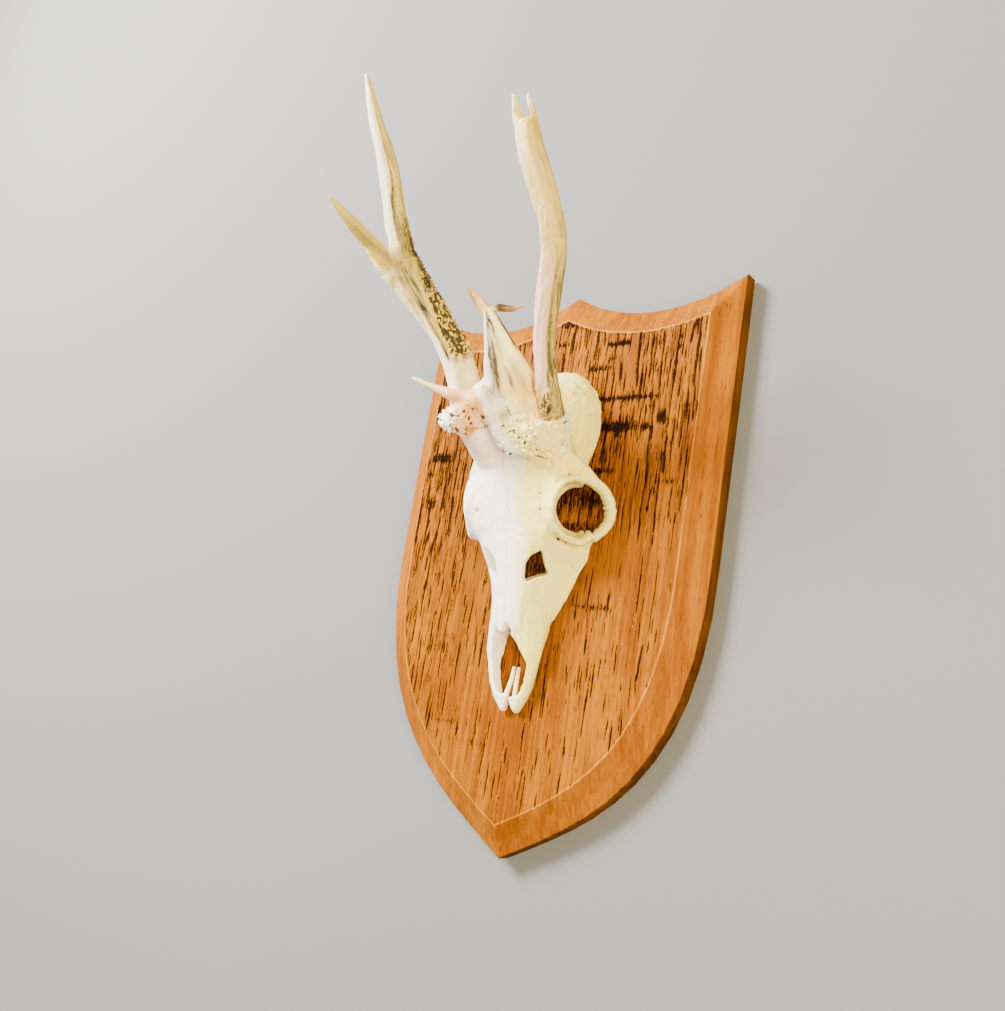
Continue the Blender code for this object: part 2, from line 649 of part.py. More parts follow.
def make_skull(shop, screw_cutters):
    """The skull modelled whole, then parted along its main seams into its bones."""
    whole = shop.add("whole skull", loft(skull_rings()))

    def shape(other, operation="DIFFERENCE"):
        # The exact solver leaves open edges where the nostril's slit meets the flat base.
        combine(whole, other, operation, "MANIFOLD")

    for side, label in ((1, "left"), (-1, "right")):
        bar = smooth_rows(shift_to_skull(ORBIT_BAR, side), LIMB_STEP)
        shape(shop.add(f"{label} bar", loft(limb_rings(bar))), "UNION")
        shape(shop.add(f"{label} socket", socket(side)))
        shape(shop.add(f"{label} rim", orbit_rim(side)), "UNION")
        shape(shop.add(f"{label} vacuity", vacuity(side)))
    shape(shop.add("nostril", nostril()))
    hollow_x = skull_x(HOLLOW_UP[0])
    low = (hollow_x - HOLLOW_HALF_WIDTH, SKULL_BASE - FLOOR_MARGIN, HOLLOW_UP[0])
    high = (hollow_x + HOLLOW_HALF_WIDTH, HOLLOW_TOP, HOLLOW_UP[1])
    shape(box(shop, "hollow under nasals", low, high))
    for side, label in ((1, "left"), (-1, "right")):
        rows = shift_to_skull([(*row, PRONG_RADIUS, PRONG_RADIUS) for row in PRONG], side)
        shape(shop.add(f"{label} prong", loft(limb_rings(rows))), "UNION")
    for cutter in screw_cutters:
        shape(cutter)
    evaluated = whole.evaluated_get(bpy.context.evaluated_depsgraph_get())
    mesh = bpy.data.meshes.new_from_object(evaluated)
    bones = {
        "premaxilla": ((0.0, BEYOND), (0.0, SEAM_MUZZLE)),
        "maxilla": ((SEAM_NASAL, BEYOND), (SEAM_MUZZLE, SEAM_BROW)),
        "cheekbone": ((SEAM_CHEEK, BEYOND), (SEAM_BROW, SEAM_NAPE)),
        "nasals": ((-SEAM_NASAL, SEAM_NASAL), (SEAM_MUZZLE, SEAM_BROW)),
        "frontal": ((-SEAM_CHEEK, SEAM_CHEEK), (SEAM_BROW, SEAM_NAPE)),
        "braincase": ((-BEYOND, BEYOND), (SEAM_NAPE, 2 * ORIGIN_UP)),
    }
    made = {}
    for bone, (across, height) in bones.items():
        paired = across[0] >= 0
        middle = skull_x(sum(height) / 2)
        for side, label in ((1, "_left"), (-1, "_right")) if paired else ((1, ""),):
            name = f"{bone}{label}"
            edges = sorted(middle + side * edge for edge in across)
            low = (edges[0] + GAP / 2, SKULL_BASE - FLOOR_MARGIN, height[0] + GAP / 2)
            high = (edges[1] - GAP / 2, BEYOND, height[1] - GAP / 2)
            made[name] = shop.add(name, mesh.copy(), "bone")
            combine(made[name], box(shop, f"region of {name}", low, high), "INTERSECT", "MANIFOLD")
    return made


def make_antlers(shop, bones):
    """Pedicles, coronets, beams, tines and the extra growth, each let into what it grows from."""
    _, tine_room = limb(shop, "antler_right_front_tine", TINE_RIGHT)
    names = ("antler_right_beam", "antler_right_rear_tine")
    *lengths, beam_right_room = split_limb(shop, names, BEAM_RIGHT, BEAM_RIGHT_SPLIT)
    for length in lengths:
        combine(length, tine_room)
    beam_left, beam_left_room = limb(shop, "antler_left_beam", BEAM_LEFT)
    points = {"antler_left_front_point": POINT_LEFT_FRONT, "antler_left_rear_point": POINT_LEFT_REAR}
    for name, rows in points.items():
        combine(beam_left, limb(shop, name, rows)[1])

    _, spike_up_room = limb(shop, "growth_upper_spike", SPIKE_UP)
    spike_side, spike_side_room = limb(shop, "growth_side_spike", SPIKE_SIDE)
    for room in (spike_up_room, beam_right_room):
        combine(spike_side, room)
    base, base_room = limb(shop, "growth_base", GROWTH_BASE)
    for room in (spike_up_room, spike_side_room, beam_right_room):
        combine(base, room)
    _, hook_room = limb(shop, "growth_hook", HOOK)
    blade, blade_room = limb(shop, "growth_blade", BLADE)
    for room in (hook_room, beam_left_room, base_room, spike_up_room):
        combine(blade, room)

    coronet_right, coronet_right_room = coronet(shop, "coronet_right", *CORONET_RIGHT)
    coronet_left, coronet_left_room = coronet(shop, "coronet_left", *CORONET_LEFT)
    for room in (beam_right_room, base_room, spike_side_room):
        combine(coronet_right, room)
    for room in (beam_left_room, base_room, blade_room, coronet_right_room):
        combine(coronet_left, room)

    pedicle_right, pedicle_right_room = limb(shop, "pedicle_right", PEDICLE_RIGHT, "bone")
    pedicle_left, pedicle_left_room = limb(shop, "pedicle_left", PEDICLE_LEFT, "bone")
    for room in (coronet_right_room, base_room, beam_right_room):
        combine(pedicle_right, room)
    for room in (coronet_left_room, base_room, pedicle_right_room, blade_room, beam_left_room):
        combine(pedicle_left, room)
    rooms = (pedicle_right_room, pedicle_left_room, base_room, coronet_right_room, coronet_left_room)
    for bone in ("frontal", "braincase"):
        for room in rooms:
            combine(bones[bone], room)


def main():
    """Builds the whole mount."""
    shop = Workshop()
    make_board(shop)
    bones = make_skull(shop, make_screws(shop))
    make_antlers(shop, bones)


main()
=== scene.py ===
"""A roe deer skull with malformed antlers on an oak shield, dressed over its solid frame.

Metres, +Z up. The shield's back lies on the plane y = 0 and its face looks along -Y. Left and right are
the deer's own, so its right antler stands at -x. Sizes that end in a comment "mm" are in millimetres.
"""

import json
import logging
import math
from collections import deque
from dataclasses import dataclass, field
from enum import Enum
from typing import Any

import bmesh
import bpy
import numpy as np
from mathutils import Matrix, Vector
from mathutils.bvhtree import BVHTree

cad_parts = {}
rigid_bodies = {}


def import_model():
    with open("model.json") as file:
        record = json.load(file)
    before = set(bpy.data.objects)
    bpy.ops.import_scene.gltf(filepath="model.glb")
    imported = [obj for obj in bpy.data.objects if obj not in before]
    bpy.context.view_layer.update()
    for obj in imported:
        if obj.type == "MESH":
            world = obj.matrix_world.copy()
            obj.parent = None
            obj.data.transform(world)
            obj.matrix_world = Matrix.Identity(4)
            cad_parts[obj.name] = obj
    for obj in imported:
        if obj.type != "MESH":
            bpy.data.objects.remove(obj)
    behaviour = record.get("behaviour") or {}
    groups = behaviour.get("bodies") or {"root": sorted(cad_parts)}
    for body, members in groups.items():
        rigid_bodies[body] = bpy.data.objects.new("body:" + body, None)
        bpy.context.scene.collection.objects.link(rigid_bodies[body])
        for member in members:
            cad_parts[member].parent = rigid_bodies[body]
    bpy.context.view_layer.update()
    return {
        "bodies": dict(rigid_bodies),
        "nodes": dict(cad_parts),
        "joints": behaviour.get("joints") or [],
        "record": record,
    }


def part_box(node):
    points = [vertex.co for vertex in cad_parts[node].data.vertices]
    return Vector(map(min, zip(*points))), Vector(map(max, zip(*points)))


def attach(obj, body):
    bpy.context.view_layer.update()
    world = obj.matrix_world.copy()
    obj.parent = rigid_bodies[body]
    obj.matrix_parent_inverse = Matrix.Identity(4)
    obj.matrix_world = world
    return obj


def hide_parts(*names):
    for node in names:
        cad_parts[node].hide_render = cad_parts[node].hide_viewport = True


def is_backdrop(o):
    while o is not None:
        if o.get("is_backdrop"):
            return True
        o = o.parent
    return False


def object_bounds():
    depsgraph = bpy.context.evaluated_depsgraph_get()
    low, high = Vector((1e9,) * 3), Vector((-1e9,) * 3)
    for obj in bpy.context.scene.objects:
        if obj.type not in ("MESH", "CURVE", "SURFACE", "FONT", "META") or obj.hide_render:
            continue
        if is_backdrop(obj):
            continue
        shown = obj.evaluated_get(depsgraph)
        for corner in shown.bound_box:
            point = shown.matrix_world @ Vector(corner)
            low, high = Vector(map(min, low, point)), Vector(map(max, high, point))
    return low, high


log = logging.getLogger("roe_mount")

MM = 0.001
MERGE = 1e-6  # metres, points nearer than this are one
BODY = "root"
OUTWARD = Vector((0.0, -1.0, 0.0))  # away from the wall
INNER_SHADED_SIDE = Vector((0.79, 0.59, 0.15))  # towards the deer's left side and back to the board, away from the key light: colours laid by it are partly painted shade on that side and painted light on the other

Colour = tuple[float, float, float]
Shares = tuple[float, float, float]  # a place in a node's box: 0 at its lowest corner, 1 at its highest
Chain = tuple[tuple[Shares, float], ...]  # places in a node's box, and a radius at each, mm


# ---------------- patterns


def ramp(values: np.ndarray, low: float, high: float) -> np.ndarray:
    """A smooth rise from 0 at low to 1 at high.

    Args:
        values: The numbers to place on the rise.
        low: Where the rise starts.
        high: Where it ends. It may be less than low, and the rise then falls.

    Returns:
        Shares from 0 to 1.
    """
    share = np.clip((values - low) / (high - low), 0.0, 1.0)
    return share * share * (3.0 - 2.0 * share)


def hump(distance: np.ndarray, radius: float) -> np.ndarray:
    """A round hill, 1 at no distance and nearly 0 at two radii."""
    return np.exp(-((distance / radius) ** 2))


class Grit:
    """Repeatable natural patterns, worked out at many points at once. Places and sizes are in mm."""

    @staticmethod
    def shares(cells: np.ndarray, seed: int) -> np.ndarray:
        """A number from 0 to 1 for each cell.

        Args:
            cells: Whole numbers, three to a row.
            seed: Picks one of many patterns.

        Returns:
            One number for each row.
        """
        mixed = cells[:, 0] * 374761393 + cells[:, 1] * 668265263 + cells[:, 2] * 1442695041
        mixed = (mixed + seed * 974634777) & 0xFFFFFFFF
        mixed = ((mixed ^ (mixed >> 13)) * 1274126177) & 0xFFFFFFFF
        return ((mixed ^ (mixed >> 16)) & 0xFFFFFF) / 0xFFFFFF

    @classmethod
    def waves(cls, places: np.ndarray, size: float, seed: int) -> np.ndarray:
        """Smooth hills and hollows.

        Args:
            places: Points, three to a row.
            size: The width of a hill.
            seed: Picks one of many patterns.

        Returns:
            Heights from about -1 to 1.
        """
        scaled = places / size
        cells = np.floor(scaled).astype(np.int64)
        part = scaled - cells
        ease = part * part * part * (part * (part * 6.0 - 15.0) + 10.0)
        total = np.zeros(len(places))
        for corner in np.ndindex(2, 2, 2):
            shift = np.array(corner)
            weight = np.prod(np.where(shift == 1, ease, 1.0 - ease), axis=1)
            total += weight * cls.shares(cells + shift, seed)
        return total * 2.0 - 1.0

    @classmethod
    def cloud(cls, places: np.ndarray, size: float, seed: int, octaves: int = 3) -> np.ndarray:
        """Waves on waves, each half as wide and half as high as the last.

        Args:
            places: Points, three to a row.
            size: The width of the largest hills.
            seed: Picks one of many patterns.
            octaves: How many sizes there are.

        Returns:
            Heights from about -1 to 1.
        """
        total, height, whole = np.zeros(len(places)), 1.0, 0.0
        for octave in range(octaves):
            total += height * cls.waves(places, size / 2**octave, seed + 17 * octave)
            whole += height
            height *= 0.5
        return total / whole * 1.6

    @classmethod
    def pebbles(
        cls, places: np.ndarray, size: float, seed: int
    ) -> tuple[np.ndarray, np.ndarray, np.ndarray]:
        """Round grains packed side by side.

        Args:
            places: Points, three to a row.
            size: The width of a grain.
            seed: Picks one of many patterns.

        Returns:
            The distance to the nearest grain's middle and to the next one, in grain widths, and the nearest
            grain's own number from 0 to 1.
        """
        scaled = places / size
        cells = np.floor(scaled).astype(np.int64)
        nearest, second = np.full(len(places), 9.0), np.full(len(places), 9.0)
        share = np.zeros(len(places))
        for corner in np.ndindex(3, 3, 3):
            cell = cells + np.array(corner) - 1
            middle = np.stack([cls.shares(cell, seed + k) for k in range(3)], axis=1) + cell
            reach = np.linalg.norm(middle - scaled, axis=1)
            closer = reach < nearest
            second = np.where(closer, nearest, np.minimum(second, reach))
            share = np.where(closer, cls.shares(cell, seed + 7), share)
            nearest = np.minimum(nearest, reach)
        return nearest, second, share


# ---------------- reading the frame


def in_box(node: str, shares: Shares) -> np.ndarray:
    """The point at those shares of a node's box, mm."""
    low, high = (np.array(corner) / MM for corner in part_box(node))
    return low + (high - low) * np.array(shares)


def shares_in(node: str, points: np.ndarray) -> np.ndarray:
    """Where points, in mm, lie in a node's box: 0 at its lowest corner and 1 at its highest."""
    low, high = (np.array(corner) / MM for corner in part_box(node))
    return (points - low) / (high - low)


def rows_of(items: Any, name: str) -> np.ndarray:
    """A property of a mesh's points that holds three numbers.

    Args:
        items: The mesh's collection of points or of their normals.
        name: The property.

    Returns:
        One row for each point.
    """
    flat = np.empty(len(items) * 3, np.float32)
    items.foreach_get(name, flat)
    return flat.reshape(-1, 3).astype(float)


def new_object(name: str, data: Any) -> bpy.types.Object:
    """A new object in the scene.

    Args:
        name: Its name.
        data: Its mesh, light or camera.

    Returns:
        The object.
    """
    made = bpy.data.objects.new(name, data)
    bpy.context.scene.collection.objects.link(made)
    return made


# ---------------- shader graph helpers


WHITE = (1.0, 1.0, 1.0, 1.0)


class Graph:
    """Lays shader nodes in one tree and joins them."""

    def __init__(self, tree: bpy.types.NodeTree) -> None:
        """Starts on a tree.

        Args:
            tree: The node tree of a material or of a node group.
        """
        self.tree = tree

    def node(self, kind: str, sockets: dict[str, Any] | None = None, **settings: Any) -> bpy.types.Node:
        """Adds one node.

        Args:
            kind: The node's type, such as ShaderNodeMath.
            sockets: What goes into its inputs, by name or number: a value, or a socket to join.
            settings: The node's own properties.

        Returns:
            The new node.
        """
        made = self.tree.nodes.new(kind)
        for name, value in settings.items():
            setattr(made, name, value)
        for name, value in (sockets or {}).items():
            if isinstance(value, bpy.types.NodeSocket):
                self.tree.links.new(value, made.inputs[name])
            else:
                made.inputs[name].default_value = value
        return made

    def join(self, sockets: dict[str, Any], target: bpy.types.Node) -> None:
        """Joins sockets to a node's inputs, by the inputs' names."""
        for name, socket in sockets.items():
            self.tree.links.new(socket, target.inputs[name])

    def math(self, operation: str, first: Any, second: Any, clamp: bool = False) -> bpy.types.NodeSocket:
        """The result of one Math node on two numbers or sockets, kept from 0 to 1 by a clamp."""
        made = self.node("ShaderNodeMath", {0: first, 1: second}, operation=operation, use_clamp=clamp)
        return made.outputs[0]

    def add(self, *terms: Any, clamp: bool = False) -> bpy.types.NodeSocket:
        """The sum of numbers or sockets.

        Args:
            terms: Two or more numbers or sockets.
            clamp: Whether the sum is kept from 0 to 1.

        Returns:
            The socket that holds it.
        """
        total, *others, last = terms
        for term in others:
            total = self.math("ADD", total, term)
        return self.math("ADD", total, last, clamp)

    def less(self, first: Any, second: Any) -> bpy.types.NodeSocket:
        """The first less the second, as a socket."""
        return self.math("SUBTRACT", first, second)

    def times(self, first: Any, second: Any, clamp: bool = False) -> bpy.types.NodeSocket:
        """The product of two numbers or sockets, as a socket."""
        return self.math("MULTIPLY", first, second, clamp)

    def swing(self, pattern: Any, size: float) -> bpy.types.NodeSocket:
        """A pattern from 0 to 1 made to swing about 0, half its size to either side, as a socket."""
        return self.times(self.less(pattern, 0.5), size)

    def mix(self, share: Any, first: Any, second: Any, blend: str = "MIX") -> bpy.types.NodeSocket:
        """One colour laid over another.

        Args:
            share: How much of the second shows, a number or a socket.
            first: A colour with alpha, or a socket.
            second: A colour with alpha, or a socket.
            blend: The Mix node's blend type.

        Returns:
            The socket that holds the colour.
        """
        made = self.node(
            "ShaderNodeMix", {0: share, 6: first, 7: second}, data_type="RGBA", blend_type=blend
        )
        return made.outputs[2]

    def rise(self, value: Any, low: Any, high: Any) -> bpy.types.NodeSocket:
        """A smooth rise from 0 at low to 1 at high, as a socket."""
        made = self.node(
            "ShaderNodeMapRange",
            {"Value": value, "From Min": low, "From Max": high},
            interpolation_type="SMOOTHSTEP",
        )
        return made.outputs["Result"]

    def stretch(self, vector: Any, scale: tuple[float, float, float]) -> bpy.types.NodeSocket:
        """The vector with each of its parts multiplied, as a socket."""
        made = self.node("ShaderNodeVectorMath", {0: vector, 1: scale}, operation="MULTIPLY")
        return made.outputs["Vector"]

    def noise(
        self, vector: Any, scale: float = 1.0, detail: float = 3.0, rough: float = 0.55
    ) -> bpy.types.NodeSocket:
        """A noise pattern from 0 to 1, as a socket."""
        sockets = {"Vector": vector, "Scale": scale, "Detail": detail, "Roughness": rough}
        return self.node("ShaderNodeTexNoise", sockets, noise_dimensions="3D").outputs["Fac"]

    def attribute(self, name: str) -> bpy.types.Node:
        """The node that reads one of the piece's own attributes."""
        return self.node("ShaderNodeAttribute", attribute_name=name)

    def dress(
        self, shader: bpy.types.Node, group: bpy.types.NodeTree, sockets: dict[str, Any], relief: float
    ) -> None:
        """Places a surface group and joins its colour, roughness and height to a shader.

        Args:
            shader: The Principled shader.
            group: The group.
            sockets: What goes into the group's inputs, by name.
            relief: The bump's depth, mm.
        """
        found = self.node("ShaderNodeGroup", sockets, node_tree=group).outputs
        sockets = {"Strength": 1.0, "Distance": relief * MM, "Height": found["Height"]}
        normal = self.node("ShaderNodeBump", sockets).outputs["Normal"]
        self.join({"Base Color": found["Colour"], "Roughness": found["Roughness"], "Normal": normal}, shader)


def new_group(name: str, inputs: dict[str, Any]) -> tuple[Graph, Any, bpy.types.Node]:
    """A shader node group that puts out a colour, a roughness and a height.

    Args:
        name: The group's name.
        inputs: Each input's starting value: a number, three numbers for a vector, or four for a colour.

    Returns:
        The graph, the sockets that it is given, and the node that takes what it puts out.
    """
    tree = bpy.data.node_groups.new(name, "ShaderNodeTree")
    for label, start in inputs.items():
        size = len(start) if isinstance(start, tuple) else 1
        kind = {1: "NodeSocketFloat", 3: "NodeSocketVector", 4: "NodeSocketColor"}[size]
        tree.interface.new_socket(label, in_out="INPUT", socket_type=kind).default_value = start
    for label, kind in (("Colour", "Color"), ("Roughness", "Float"), ("Height", "Float")):
        tree.interface.new_socket(label, in_out="OUTPUT", socket_type="NodeSocket" + kind)
    graph = Graph(tree)
    return graph, graph.node("NodeGroupInput").outputs, graph.node("NodeGroupOutput")


def paint(colour: Colour) -> tuple[float, float, float, float]:
    """The colour with full alpha, as a socket takes it."""
    return (*colour, 1.0)


def new_material(name: str) -> tuple[bpy.types.Material, Graph, bpy.types.Node]:
    """An empty material.

    Args:
        name: The material's name.

    Returns:
        The material, its graph and its Principled shader.
    """
    material = bpy.data.materials.new(name)
    material.use_nodes = True
    return material, Graph(material.node_tree), material.node_tree.nodes["Principled BSDF"]


# ---------------- finishes


# these masks hold real stains and tones, and painted light and shade too: chalk and lilac as painted light
# where the key light falls, cream as painted warm light on the skull's far side, olive and speck as painted
# shade on the far side of the antlers
MASKS = ("cream", "olive", "peach", "lilac", "dirt", "speck", "chalk")
PAINTS = ("base", "cream", "olive", "peach", "lilac", "dirt", "chalk")


@dataclass(frozen=True)
class BoneFinish:
    """Dry bone or antler, coloured by the masks painted on its skin."""

    name: str
    base: Colour
    cream: Colour
    olive: Colour
    peach: Colour
    lilac: Colour
    dirt: Colour
    chalk: Colour
    roughness: float
    relief: float  # the bump's depth, mm

    def material(self, group: bpy.types.NodeTree) -> bpy.types.Material:
        """The finish as a material.

        Args:
            group: The weathered surface group.

        Returns:
            The new material.
        """
        material, graph, shader = new_material(self.name)
        place = graph.node("ShaderNodeTexCoord").outputs["Object"]
        sockets: dict[str, Any] = {"Place": place, "Grain": graph.attribute("grain").outputs["Vector"]}
        for mask in MASKS:
            sockets[mask.title()] = graph.attribute(mask).outputs["Fac"]
        for label in PAINTS:
            sockets[f"{label.title()} Colour"] = paint(getattr(self, label))
        sockets["Dullness"] = self.roughness
        graph.dress(shader, group, sockets, self.relief)
        shader.inputs["Subsurface Weight"].default_value = 0.0
        shader.inputs["Specular IOR Level"].default_value = 0.22
        return material


def weathered_group() -> bpy.types.NodeTree:
    """The group that lays stains, streaks and specks over bone.

    Returns:
        The node group.
    """
    inputs: dict[str, Any] = {"Place": (0.0, 0.0, 0.0), "Grain": (0.0, 0.0, 0.0)}
    inputs.update({mask.title(): 0.0 for mask in MASKS})
    inputs.update({f"{label.title()} Colour": WHITE for label in PAINTS})
    inputs["Dullness"] = 0.6
    g, i, result = new_group("weathered_surface", inputs)
    blotch = g.noise(i["Place"], 160.0, 3.0)
    fibre = g.noise(i["Grain"], 900.0, 4.0, 0.62)
    streak = g.noise(i["Grain"], 330.0, 3.0, 0.6)
    fine = g.noise(i["Place"], 1900.0, 2.0)

    cream = g.add(i["Cream"], g.swing(blotch, 0.5), clamp=True)
    colour = g.mix(cream, i["Base Colour"], i["Cream Colour"])
    peach = g.times(i["Peach"], g.add(blotch, 0.5), clamp=True)
    colour = g.mix(peach, colour, i["Peach Colour"])
    lilac = g.times(i["Lilac"], g.add(streak, 0.45), clamp=True)
    colour = g.mix(lilac, colour, i["Lilac Colour"])
    lined = g.rise(g.add(streak, g.times(fibre, 0.7)), 0.55, 1.05)
    olive = g.times(i["Olive"], g.add(g.times(lined, 0.85), 0.3), clamp=True)
    colour = g.mix(olive, colour, i["Olive Colour"])
    colour = g.mix(g.times(i["Chalk"], 0.9), colour, i["Chalk Colour"])

    # flecks, and soil in what is painted as dirt
    skewed = g.node(
        "ShaderNodeVectorMath",
        {0: i["Place"], 1: (0.35, 0.35, 0.35), 2: i["Grain"]},
        operation="MULTIPLY_ADD",
    ).outputs["Vector"]
    chip = g.noise(skewed, 1250.0, 3.0, 0.6)
    level = g.less(0.80, g.times(i["Speck"], 0.30))
    fleck = g.times(g.rise(g.less(chip, level), 0.0, 0.06), g.rise(i["Speck"], 0.02, 0.1))
    edge = g.add(i["Dirt"], g.swing(fibre, 0.6), g.swing(chip, 0.5))
    soil = g.times(g.rise(edge, 0.18, 0.72), g.rise(i["Dirt"], 0.02, 0.12))
    dark = g.math("MAXIMUM", g.times(fleck, 0.8), soil)
    colour = g.mix(g.times(dark, 0.93), colour, i["Dirt Colour"])
    fade = g.add(g.times(fine, 0.10), g.add(g.times(fibre, 0.14), 0.88))
    shade = g.node("ShaderNodeCombineColor", {0: fade, 1: fade, 2: fade}).outputs[0]
    colour = g.mix(1.0, colour, shade, "MULTIPLY")

    height = g.add(g.times(fine, 0.18), g.times(blotch, 0.25), g.times(fibre, g.add(i["Olive"], 0.22)))
    height = g.less(height, g.times(dark, 0.9))
    rough = g.add(i["Dullness"], g.swing(fine, 0.18), g.times(dark, 0.2), clamp=True)
    g.join({"Colour": colour, "Roughness": rough, "Height": height}, result)
    return g.tree


# ---------------- skins over the frame's solids


class Limb:
    """The line along the middle of one long piece, read from its solid."""

    stub: float = 4.0  # mm, a lower end that lies further than this from the next point is left out

    def __init__(self, solid: bpy.types.Object, axis: int = 2, slabs: int = 20) -> None:
        """Slices the solid and keeps the middle of each slice.

        Args:
            solid: The frame's object.
            axis: The world axis that the piece runs along: 0, 1 or 2.
            slabs: How many slices there are.
        """
        mesh = solid.data
        mesh.calc_loop_triangles()
        corners = rows_of(mesh.vertices, "co") / MM
        triangles = np.empty(len(mesh.loop_triangles) * 3, np.int64)
        mesh.loop_triangles.foreach_get("vertices", triangles)
        a, b, c = (corners[triangles.reshape(-1, 3)[:, k]] for k in range(3))
        area = np.linalg.norm(np.cross(b - a, c - a), axis=1)
        marks = np.linspace(0.06, 0.88, 6)
        steps = [(u, v) for u in marks for v in marks if u + v < 1]
        places = np.concatenate([a + u * (b - a) + v * (c - a) for u, v in steps])
        weight = np.tile(area, len(steps))
        along = places[:, axis]
        low, high = corners[:, axis].min(), corners[:, axis].max()
        slab = np.clip(((along - low) / (high - low) * slabs).astype(int), 0, slabs - 1)
        total = np.bincount(slab, weight, slabs)
        middle = np.stack([np.bincount(slab, weight * places[:, k], slabs) / total for k in range(3)], 1)
        kept = middle.copy()
        kept[1:-1] = (middle[:-2] + 2 * middle[1:-1] + middle[2:]) / 4
        ends = corners[np.argmin(corners[:, axis])], corners[np.argmax(corners[:, axis])]
        self.line = np.concatenate([[ends[0]], kept, [ends[1]]])
        if np.linalg.norm(ends[0] - kept[0]) > self.stub:
            self.line = self.line[1:]
        self.steps = np.linalg.norm(np.diff(self.line, axis=0), axis=1)
        self.length = float(self.steps.sum())
        self.axis = axis

    def measure(self, places: np.ndarray) -> tuple[np.ndarray, np.ndarray, np.ndarray]:
        """Where points lie along and round the piece.

        Args:
            places: Points, three to a row, mm.

        Returns:
            The share of the length at each point, the vector from the middle line to it, and the line's
            direction there.
        """
        starts, runs = self.line[:-1], np.diff(self.line, axis=0)
        before = np.concatenate([[0.0], np.cumsum(self.steps)[:-1]])
        best = np.full(len(places), 1e9)
        along, out = np.zeros(len(places)), np.zeros((len(places), 3))
        way = np.zeros((len(places), 3))
        for start, run, step, base in zip(starts, runs, self.steps, before):
            share = np.clip((places - start) @ run / step**2, 0.0, 1.0)
            offset = places - start - share[:, None] * run
            reach = np.linalg.norm(offset, axis=1)
            closer = reach < best
            best = np.where(closer, reach, best)
            along = np.where(closer, base + share * step, along)
            out = np.where(closer[:, None], offset, out)
            way = np.where(closer[:, None], run / step, way)
        return along / self.length, out, way


@dataclass
class Lie:
    """Where each point of a skin lies along and round its own limb."""

    along: np.ndarray  # the share of the limb's length
    run: np.ndarray  # the way along it, mm
    out: np.ndarray  # the vector from its middle line, mm
    way: np.ndarray  # its direction

    def side(self, direction: Vector) -> np.ndarray:
        """How far round its limb each point is towards a direction.

        Args:
            direction: The direction to look along.

        Returns:
            1 on the side that faces the direction, and -1 on the far side.
        """
        look = np.array(direction)
        across = look - (self.way @ look)[:, None] * self.way
        across /= np.linalg.norm(across, axis=1)[:, None] + 1e-9
        flat = self.out / (np.linalg.norm(self.out, axis=1)[:, None] + 1e-9)
        return np.sum(flat * across, axis=1)

    def combed(self, length: float) -> np.ndarray:
        """Places for a pattern that is combed along the limb, with its length shrunk that many times."""
        return self.out + self.way * (self.run * length)[:, None]


@dataclass(frozen=True)
class Boss:
    """A rounded lump that a skin is drawn over as well. Places and sizes in mm."""

    middle: Vector
    radii: tuple[float, float, float]
    towards: Vector | None = None  # the world direction of its third radius

    def add_to(self, shape: bmesh.types.BMesh) -> None:
        """Adds the lump to a shape."""
        turn = Matrix.Identity(4)
        if self.towards is not None:
            turn = self.towards.to_track_quat("Z", "Y").to_matrix().to_4x4()
        place = Matrix.Translation(self.middle * MM) @ turn @ Matrix.Diagonal((*self.radii, 1.0))
        matrix = place @ Matrix.Diagonal((MM, MM, MM, 1.0))
        bmesh.ops.create_icosphere(shape, subdivisions=3, radius=1.0, matrix=matrix)


@dataclass(frozen=True)
class Web:
    """A tapering bar that a skin is drawn over as well. Places and sizes in mm."""

    start: Vector
    end: Vector
    thin: float  # the radius at its start
    thick: float  # the radius at its end

    def add_to(self, shape: bmesh.types.BMesh) -> None:
        """Adds the bar to a shape."""
        run = self.start - self.end
        turn = run.to_track_quat("Z", "Y").to_matrix().to_4x4()
        bmesh.ops.create_cone(
            shape, cap_ends=True, cap_tris=True, segments=24, radius1=self.thick * MM,
            radius2=self.thin * MM, depth=run.length * MM,
            matrix=Matrix.Translation((self.start + self.end) / 2 * MM) @ turn,
        )


def add_chain(shape: bmesh.types.BMesh, node: str, chain: Chain, balls: bool = False) -> None:
    """Adds a row of webs from place to place.

    Args:
        shape: Where they go.
        node: The node whose box holds the places.
        chain: The places and the radii there.
        balls: Whether a ball rounds each joint.
    """
    places = [(Vector(in_box(node, shares)), radius) for shares, radius in chain]
    for (start, narrow), (end, wide) in zip(places, places[1:]):
        Web(start, end, narrow, wide).add_to(shape)
        if balls:
            Boss(end, (wide, wide, wide)).add_to(shape)


@dataclass(frozen=True)
class Trim:
    """Narrows the lower end of a solid between two edges. Sizes in mm."""

    solid: str
    rise: float  # the height above the solid's lowest point where the narrowing starts
    # heights above that point, and how far both edges there lie to the deer's left of the solid's box
    edges: tuple[tuple[float, float, float], ...]
    level: float = 1.2  # points within this height of each other count as one section
    least: float = 0.2  # a narrower section is taken as one point
    fade: float = 2.5  # the height over which the narrowing sets in

    def cut(self, verts: list[bmesh.types.BMVert]) -> None:
        """Moves the points sideways.

        Args:
            verts: The solid's points.
        """
        places = np.array([vert.co for vert in verts]) / MM
        rise = places[:, 2] - places[:, 2].min()
        heights, left, right = (np.array(column) for column in zip(*self.edges))
        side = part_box(self.solid)[0].x / MM
        for vert, place, height in zip(verts, places, rise):
            if height >= self.rise:
                continue
            near = np.abs(rise - height) < self.level
            low, high = places[near, 0].min(), places[near, 0].max()
            share = 0.5 if high - low < self.least else (place[0] - low) / (high - low)
            start, end = np.interp(height, heights, left), np.interp(height, heights, right)
            goal = side + start + share * (end - start)
            pull = float(ramp(np.array(height), self.rise, self.rise - self.fade))
            vert.co.x += (goal - place[0]) * pull * MM


